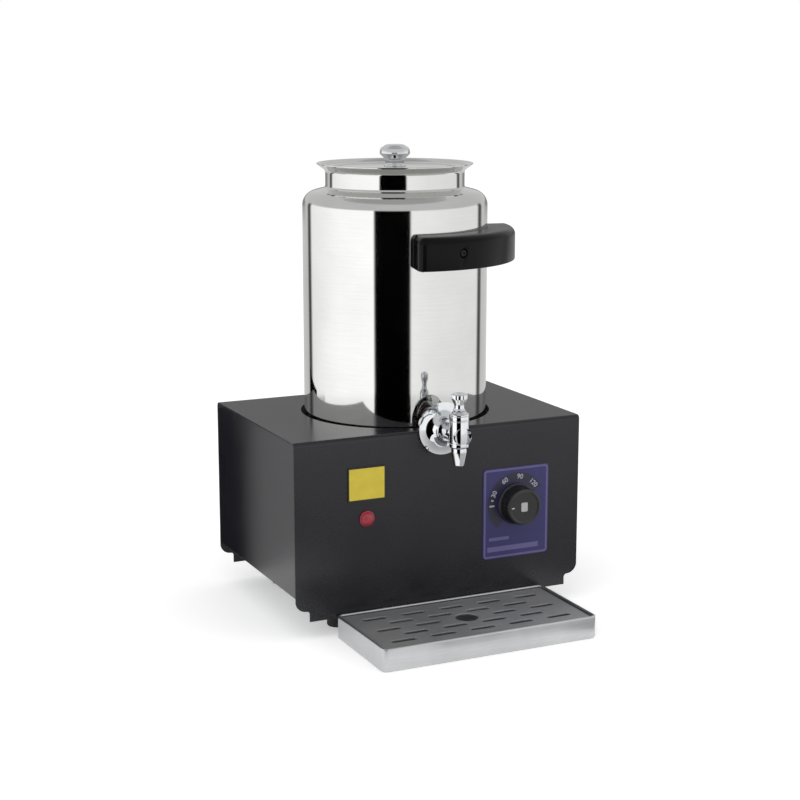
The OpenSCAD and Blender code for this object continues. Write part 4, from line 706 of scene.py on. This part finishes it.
knob = lathe("dialKnob", filletPath(knobShape["path"]), knobShape["steps"], ribbed(knobShape))
dress(onFront(knob, dialMid, knobBack), "dial_knob", "bakelite", "bakelite", "thermostat_knob")
knobFace = knobBack - knobShape["face"]
inlay = loopStack("dialKnobInlay", *knobShape["inlay"], knobShape["inlayLayers"], steps=5)
dress(onFront(inlay, dialMid, knobFace), "dial_knob", "bakelite", "inlayPale")
offAngle = knobShape["offAngle"]  # at rest the pointer stands at the off mark
pointer = loopStack("dialKnobPointer", *knobShape["pointer"], knobShape["pointerLayers"], steps=4)
moveMesh(pointer, onDial(knobShape["pointerR"], offAngle, knobFace), turnedOnDial(offAngle))
dress(pointer, "dial_knob", "bakelite", "inlayPale")

plateShape = {"t": 0.8, "r": 4, "ease": 0.25, "frameInset": 1.0, "frameW": 1.9, "band": (21.4, 31.0, 28, 228),
              "bandSteps": 64, "ink": 0.06, "numberR": 26.4, "numberH": 5.0, "fontPerHeight": 1.35,
              "strokeMm": 0.12, "numbers": {"30": 155, "60": 118, "90": 81, "120": 44},
              "marks": {offAngle: 5.4, 169: 2.4}, "markH": 1.7, "markR": 0.5,
              "bars": [(-18.3, -25.3, 22, 3.2), (-3, -35.4, 56, 5)], "barR": 0.8}
ink = plateShape["ink"]
inkLayers = [(0, 0), (0, ink)]
plateMid = middleOf("dial_plate")
plateW, _, plateH = sizeOf("dial_plate")
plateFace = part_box("dial_plate")[0].y * 1000
plateLayers = [(0, 0), (0, plateShape["t"] - plateShape["ease"]), (plateShape["ease"], plateShape["t"])]
dialPlate = loopStack("dialPlate", plateW, plateH, plateShape["r"], plateLayers)
dress(onFront(dialPlate, plateMid, frontFace), "base", "dial_blue", "dialBlue", "dial_plate")


def printedFrame(name, w, h, r, inset, width, height, steps=8, leastR=0.6):
    # a closed printed line, a little raised, that sits on the plate
    layers = ((inset, 0), (inset, height), (inset + width, height), (inset + width, 0))
    bm = bmesh.new()
    rings = loopRings(bm, w, h, r, layers, steps, leastR)
    skinRings(bm, rings + rings[:1])
    return newObject(name, bm)


def printedBand(name, radiusIn, radiusOut, first, last, steps):
    bm = bmesh.new()
    rings = []
    for k in range(steps + 1):
        a = math.radians(first + (last - first) * k / steps)
        rings.append([bm.verts.new((r * math.cos(a) / 1000, r * math.sin(a) / 1000, z / 1000))
                      for r, z in ((radiusIn, 0), (radiusIn, ink), (radiusOut, ink), (radiusOut, 0))])
    skinRings(bm, rings)
    bm.faces.new(rings[0])
    bm.faces.new(rings[-1][::-1])
    return newObject(name, bm)


def printedText(words, at, turn):
    curve = bpy.data.curves.new("number" + words, "FONT")
    curve.body = words
    curve.size = plateShape["numberH"] / 1000 * plateShape["fontPerHeight"]
    curve.align_x = "CENTER"
    curve.align_y = "CENTER"
    curve.extrude = ink / 2000
    curve.offset = plateShape["strokeMm"] / 1000
    source = linkObject("number" + words, curve)
    bpy.context.view_layer.update()
    mesh = bpy.data.meshes.new_from_object(source.evaluated_get(bpy.context.evaluated_depsgraph_get()))
    bpy.data.objects.remove(source)
    return moveMesh(bpy.data.objects.new("number" + words, mesh), at, turn)


plateLine = printedFrame("dialPlateFrame", plateW, plateH, plateShape["r"], plateShape["frameInset"],
                         plateShape["frameW"], ink)
dress(onFront(plateLine, plateMid, plateFace), "base", "dial_blue", "dialViolet")
# this navy band is partly print and partly the knob's painted shadow on the plate, from the right of the knob
# round its top to its lower left
band = printedBand("dialScaleBandAndShadow", *plateShape["band"], plateShape["bandSteps"])
dress(onFront(band, dialMid, plateFace), "base", "dial_blue", "dialNavyPrintAndShadow")
numbers = []
for words, angle in plateShape["numbers"].items():
    at = onDial(plateShape["numberR"], angle, plateFace - 1.5 * ink)  # the numbers stand on the band's ink
    numbers.append(printedText(words, at, turnedOnDial(angle)))
for angle, w in plateShape["marks"].items():  # the off mark and a short tick
    mark = loopStack("offMark", w, plateShape["markH"], plateShape["markR"], inkLayers, steps=4)
    numbers.append(moveMesh(mark, onDial(plateShape["numberR"], angle, plateFace - ink), toFront))
dress(joinMeshes("dialNumbers", numbers), "base", "dial_blue", "dialPale")
bars = []
for x, z, w, h in plateShape["bars"]:  # plain bars where the words were
    bar = loopStack("plateBar", w, h, plateShape["barR"], inkLayers, steps=4)
    bars.append(moveMesh(bar, (plateMid.x + x, plateFace, plateMid.z + z), toFront))
dress(joinMeshes("dialPlateBars", bars), "base", "dial_blue", "dialViolet")

labelShape = {"t": 0.8, "r": 1.0, "layers": [(0, 0), (0, 0.6), (0.2, 0.8)], "proud": 0.04, "frameW": 1.4}
labelMid = middleOf("label_plate")
labelW, _, labelH = sizeOf("label_plate")
label = loopStack("labelPlate", labelW, labelH, labelShape["r"], labelShape["layers"])
dress(onFront(label, labelMid, frontFace), "base", "label_yellow", "labelYellow", "label_plate")
labelLine = printedFrame("labelPlateFrame", labelW, labelH, labelShape["r"], -labelShape["proud"],
                         labelShape["frameW"], labelShape["t"] + ink)  # wraps the plate's edge
dress(onFront(labelLine, labelMid, frontFace), "base", "label_yellow", "labelLine")

lampShape = {"lens": [(0, -4), (4.1, -4), (4.1, 0), (7.5, 0, 0.2), (7.5, 1.6, 0.5), (6.6, 2.0, 0.2),
                      (6.4, 2.4, 0.3), (6.0, 3.6, 1.5), (4.6, 5.0, 2.0), (2.4, 5.8, 2.5), (0, 6.0)]}
lampMid = middleOf("pilot_lamp_lens")
lens = lathe("pilotLampLens", filletPath(lampShape["lens"], steps=5), steps=64)
dress(onFront(lens, lampMid, frontFace), "base", "lens_red", "lensRed", "pilot_lamp_lens")
print("dial, label and lamp built")


# cable gland at the rear

glandShape = {"hexR": 11.6, "hexH": 6, "hexEase": 0.7,
              "ribs": 24, "ribDepth": 0.35, "ribZ": (6.5, 13.5), "ribR": 8.5,
              "dome": [(9.976, 6), (9.8, 6, 0.3), (9.4, 12.5, 1.2), (7.6, 16.4, 1.2), (6.5, 17, 0.4),
                       (4.5, 17, 0.4), (4.5, -13), (8, -13), (8, 0)]}
glandMid = middleOf("cable_gland")
bm = bmesh.new()
hexR, hexH = glandShape["hexR"] / 1000, glandShape["hexH"] / 1000
bmesh.ops.create_cone(bm, cap_ends=True, segments=6, radius1=hexR, radius2=hexR, depth=hexH,
                      matrix=Matrix.Translation((0, 0, hexH / 2)))
hexPart = softEdges(newObject("glandHex", bm), glandShape["hexEase"], segments=3)
dome = lathe("glandDome", filletPath(glandShape["dome"]), steps=144, shape=ribbed(glandShape))
gland = joinMeshes("cableGland", [hexPart, dome])
moveMesh(gland, (glandMid.x, rearFace, glandMid.z), toRear)
dress(gland, "base", "lamp_plastic", "lampPlastic", "cable_gland")


# drip tray and grille

trayShape = {"r": 6, "steps": 10, "grilleEase": 0.3,
             "layers": [(1.6, 0), (0.5, 0.35), (0, 1.5), (0, 20.2), (0.12, 20.9), (0.45, 21.5), (0.95, 21.87),
                        (1.5, 22), (2.05, 21.87), (2.5, 21.5), (2.8, 20.9), (2.75, 20.3), (2.4, 20.0),
                        (1.05, 19.9), (1.0, 19.6), (1.0, 2.2), (1.4, 1.3), (2.3, 1.0)]}
trayMid = middleOf("tray_pan")
trayW, trayD, _ = sizeOf("tray_pan")
tray = loopStack("trayPan", trayW, trayD, trayShape["r"], trayShape["layers"], trayShape["steps"])
dress(moveMesh(tray, (trayMid.x, trayMid.y, 0)), "tray", "tray_steel", "traySteel", "tray_pan")
grille = sheetCopy("drip_grille", "dripGrille", trayShape["grilleEase"])
dress(grille, "grille", "grille_steel", "grilleSteel", "drip_grille")
print("tray and grille built")


# CAD nodes that keep their solid and only take a finish

kept = {
    "screwZinc": ("foot_screws", "base_screws", "bath_studs", "bath_nuts", "thermostat_screws",
                  "terminal_screws", "lid_knob_screw", "grip_posts", "tap_handle_screw"),
    "bathSteel": ("water_bath",),
    "elementSteel": ("heating_element",),
    "brass": ("element_bushes", "element_nuts", "tap_lock_nut", "tap_plug"),
    "sealFibre": ("element_seals",),
    "gasketFibre": ("tap_outer_gasket", "tap_inner_gasket"),
    "thermostatCase": ("thermostat_body",),
    "clipSteel": ("thermostat_shaft", "bulb_clip"),
    "copper": ("sensor_bulb", "capillary_tube"),
    "lampPlastic": ("pilot_lamp_body", "pilot_lamp_nut", "gland_nut"),
    "blockPlastic": ("terminal_block",),
    "leadRed": ("element_leads",), "leadBlue": ("lamp_leads",), "leadBrown": ("supply_lead",),
}
for finish, nodes in kept.items():
    for node in nodes:
        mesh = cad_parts[node].data
        mesh.materials.clear()
        mesh.materials.append(made[finish])
        for polygon in mesh.polygons:
            polygon.material_index = 0
print("kept nodes finished:", sum(len(nodes) for nodes in kept.values()))


# studio: white floor, a grey and white surround that only reflections see, soft lamps; sizes in metres

studio = {
    "toCamera": (-0.4219, -0.9066), "toRight": (0.9066, -0.4219),
    "floorHalf": 6.0, "floorGrey": 0.86, "floorGlow": 0.34,
    "worldFill": 0.82, "skyFade": (0.45, 0.95), "skyTop": 0.42,
    "wallR": 0.95, "wallZ": (-0.02, 1.7), "wallSteps": 96,
    # degrees round the urn and the brightness there; 0 is towards the camera, positive to its right
    "stripes": [(-180, 0.66), (-134, 0.66), (-129.5, 0.08), (-125, 0.08), (-120, 1.1), (-70, 1.35),
                (-25, 1.4), (-23.5, 0.0), (17.5, 0.0), (19, 1.15), (55, 1.05), (117, 1.0), (122, 0.10),
                (127, 0.10), (132, 0.70), (180, 0.66)],
    "stripeTop": (0.48, 0.60), "plainWall": 0.64,
    # a soft grey patch low behind the casing, which its top reflects: each pair goes from clear to full
    "rearShade": {"grey": 0.28, "turn": (44, 28), "rise": (0.27, 0.35), "fall": (0.51, 0.43)},
    # cloths on the floor: first and last degree, near and far radius, grey near the urn and away from it
    "floorCloths": {"studioFloorBlack": ((-24.5, 18.5, 0.37, 1.2), (0.0, 0.0)),
                    "studioFloorLeft": ((-165, -95, 0.20, 1.2), (0.56, 0.59)),
                    "studioFloorGrey": ((18.5, 100, 0.25, 1.2), (0.44, 0.90))},
    "clothFade": (0.3, 1.0), "clothZ": 0.0015, "clothSteps": 12,
    # black cloths that darken the rear of the left side: where they meet, how high, where each one ends
    "sideCorner": (-0.190, 0.160), "sideHigh": 0.180,
    "sideCloths": {"studioSideBlack": (-0.190, 0.33), "studioSideReturn": (-0.1515, 0.160)},
}


def emptyTree(holder):
    holder.use_nodes = True
    holder.node_tree.nodes.clear()
    return holder.node_tree


def onlyReflected(piece):
    piece.visible_camera = False
    piece.visible_diffuse = False
    piece.visible_shadow = False


def angleRamp(tree, vector):
    # brightness by direction round the urn
    split = addNode(tree, "ShaderNodeSeparateXYZ", None, {0: vector}).outputs
    along = []
    for x, y in (studio["toRight"], studio["toCamera"]):
        along.append(mathNode(tree, "MULTIPLY_ADD", split[1], y, mathNode(tree, "MULTIPLY", split[0], x)))
    share = mapRange(tree, mathNode(tree, "ARCTAN2", *along), (-math.pi, math.pi))
    ramp = addNode(tree, "ShaderNodeValToRGB", None, {"Fac": share})
    rampStops(ramp, [((a + 180) / 360, grey(g)) for a, g in studio["stripes"]])
    return ramp.outputs[0]


def mixColours(tree, factor, first, second):
    node = addNode(tree, "ShaderNodeMix", {"data_type": "RGBA"}, {"Factor": factor, 6: first, 7: second})
    return node.outputs[2]


bm = bmesh.new()
rings = []
for z in studio["wallZ"]:
    rings.append([])
    for k in range(studio["wallSteps"]):
        a = 2 * math.pi * k / studio["wallSteps"]
        x, y = studio["wallR"] * math.cos(a), studio["wallR"] * math.sin(a) + urnAxis[1]
        rings[-1].append(bm.verts.new((x, y, z)))
skinRings(bm, rings)
surround = newObject("studioSurround", bm)
wallPaint = bpy.data.materials.new("studioSurroundPaint")
tree = emptyTree(wallPaint)
spot = addNode(tree, "ShaderNodeTexCoord").outputs["Object"]
away = addNode(tree, "ShaderNodeVectorMath", {"operation": "SUBTRACT"}, {0: spot, 1: urnAxis}).outputs[0]
height = addNode(tree, "ShaderNodeSeparateXYZ", None, {0: spot}).outputs[2]
upper = mapRange(tree, height, studio["stripeTop"])
striped = mixColours(tree, upper, angleRamp(tree, away), grey(studio["plainWall"]))
rearShade = studio["rearShade"]
behind = addNode(tree, "ShaderNodeVectorMath", {"operation": "DOT_PRODUCT"}, {
    0: away, 1: [-c / studio["wallR"] for c in studio["toCamera"]] + [0]})
masks = [(behind.outputs["Value"], [math.cos(math.radians(a)) for a in rearShade["turn"]]),
         (height, rearShade["rise"]), (height, rearShade["fall"])]
patch = 1.0
for value, ends in masks:
    patch = mathNode(tree, "MULTIPLY", mapRange(tree, value, ends, how="SMOOTHSTEP"), patch)
shaded = mixColours(tree, patch, striped, grey(rearShade["grey"]))
wallGlow = addNode(tree, "ShaderNodeEmission", None, {"Color": shaded, "Strength": 1.0})
addNode(tree, "ShaderNodeOutputMaterial", None, {"Surface": wallGlow.outputs[0]})
surround.data.materials.append(wallPaint)
onlyReflected(surround)


def clothCard(name, corners, greys):
    # cloth that only reflections see; its grey goes from near the urn to away from it
    paint = bpy.data.materials.new(name + "Cloth")
    tree = emptyTree(paint)
    spot = addNode(tree, "ShaderNodeTexCoord").outputs["Object"]
    reach = addNode(tree, "ShaderNodeVectorMath", {"operation": "DISTANCE"}, {0: spot, 1: urnAxis})
    fade = mapRange(tree, reach.outputs["Value"], studio["clothFade"], greys)
    cloth = addNode(tree, "ShaderNodeEmission", None, {"Color": grey(1.0), "Strength": fade})
    addNode(tree, "ShaderNodeOutputMaterial", None, {"Surface": cloth.outputs[0]})
    bm = bmesh.new()
    bm.faces.new([bm.verts.new(c) for c in corners])
    card = newObject(name, bm)
    card.data.materials.append(paint)
    onlyReflected(card)


def floorWedge(first, last, near, far):
    rim = []
    steps = studio["clothSteps"]
    for radius, marks in ((near, range(steps + 1)), (far, range(steps, -1, -1))):
        for k in marks:
            a = math.radians(first + (last - first) * k / steps)
            along = Vector(studio["toCamera"]) * math.cos(a) + Vector(studio["toRight"]) * math.sin(a)
            rim.append((along.x * radius, along.y * radius + urnAxis[1], studio["clothZ"]))
    return rim


for name, (span, greys) in studio["floorCloths"].items():
    clothCard(name, floorWedge(*span), greys)
meet, high = studio["sideCorner"], studio["sideHigh"]
for name, end in studio["sideCloths"].items():
    clothCard(name, [(*meet, 0), (*end, 0), (*end, high), (*meet, high)], (0.0, 0.0))

bm = bmesh.new()
bmesh.ops.create_grid(bm, x_segments=1, y_segments=1, size=studio["floorHalf"])
floor = newObject("studioFloor", bm)
floorPaint = bpy.data.materials.new("studioFloorPaint")
tree = emptyTree(floorPaint)
paths = addNode(tree, "ShaderNodeLightPath").outputs
seen = mathNode(tree, "MAXIMUM", paths["Is Camera Ray"], paths["Is Glossy Ray"])
seenAll = mathNode(tree, "MAXIMUM", seen, paths["Is Transmission Ray"])
lift = mathNode(tree, "MULTIPLY", seenAll, studio["floorGlow"])
matt = addNode(tree, "ShaderNodeBsdfDiffuse", None, {"Color": grey(studio["floorGrey"])})
glow = addNode(tree, "ShaderNodeEmission", None, {"Color": grey(1.0), "Strength": lift})
total = addNode(tree, "ShaderNodeAddShader", None, {0: matt.outputs[0], 1: glow.outputs[0]})
addNode(tree, "ShaderNodeOutputMaterial", None, {"Surface": total.outputs[0]})
floor.data.materials.append(floorPaint)

world = bpy.data.worlds.new("studioWorld")
scene.world = world
tree = emptyTree(world)
paths = addNode(tree, "ShaderNodeLightPath").outputs
spot = addNode(tree, "ShaderNodeTexCoord").outputs["Generated"]
split = addNode(tree, "ShaderNodeSeparateXYZ", None, {0: spot}).outputs
overhead = mapRange(tree, split[2], studio["skyFade"], (1.0, studio["skyTop"]), "SMOOTHSTEP")
skies = [addNode(tree, "ShaderNodeBackground", None, {"Color": grey(1.0), "Strength": strength}).outputs[0]
         for strength in (studio["worldFill"], overhead, 1.0)]  # fill, reflected, seen
shiny = mathNode(tree, "MAXIMUM", paths["Is Glossy Ray"], paths["Is Transmission Ray"])
mixShiny = addNode(tree, "ShaderNodeMixShader", None, {0: shiny, 1: skies[0], 2: skies[1]})
mixSeen = addNode(tree, "ShaderNodeMixShader", None, {
    0: paths["Is Camera Ray"], 1: mixShiny.outputs[0], 2: skies[2]})
addNode(tree, "ShaderNodeOutputWorld", None, {"Surface": mixSeen.outputs[0]})

lamps = {
    "softboxLeft": {"at": (-1.3, -1.2, 1.9), "aim": (0, 0.0, 0.2), "size": 2.0, "watts": 11},
    "softboxRight": {"at": (1.5, -1.2, 1.7), "aim": (0, 0.0, 0.2), "size": 2.4, "watts": 6},
}
for name, spec in lamps.items():
    lamp = bpy.data.lights.new(name, "AREA")
    lamp.energy = spec["watts"]
    lamp.shape = "SQUARE"
    lamp.size = spec["size"]
    holder = linkObject(name, lamp)
    holder.location = spec["at"]
    holder.rotation_euler = (Vector(spec["aim"]) - Vector(spec["at"])).to_track_quat("-Z", "Y").to_euler()
    holder.visible_glossy = False

cameraSet = {"at": (-0.6984, -1.45555, 0.5375), "along": (0.416, 0.8867, -0.2014),
             "lens": 76.44, "sensor": 36}
camera = bpy.data.cameras.new("photoCamera")
camera.sensor_width = cameraSet["sensor"]
camera.lens = cameraSet["lens"]
cameraHolder = linkObject("photoCamera", camera)
cameraHolder.location = cameraSet["at"]
cameraHolder.rotation_euler = Vector(cameraSet["along"]).to_track_quat("-Z", "Y").to_euler()
scene.camera = cameraHolder
print("studio and camera ready")
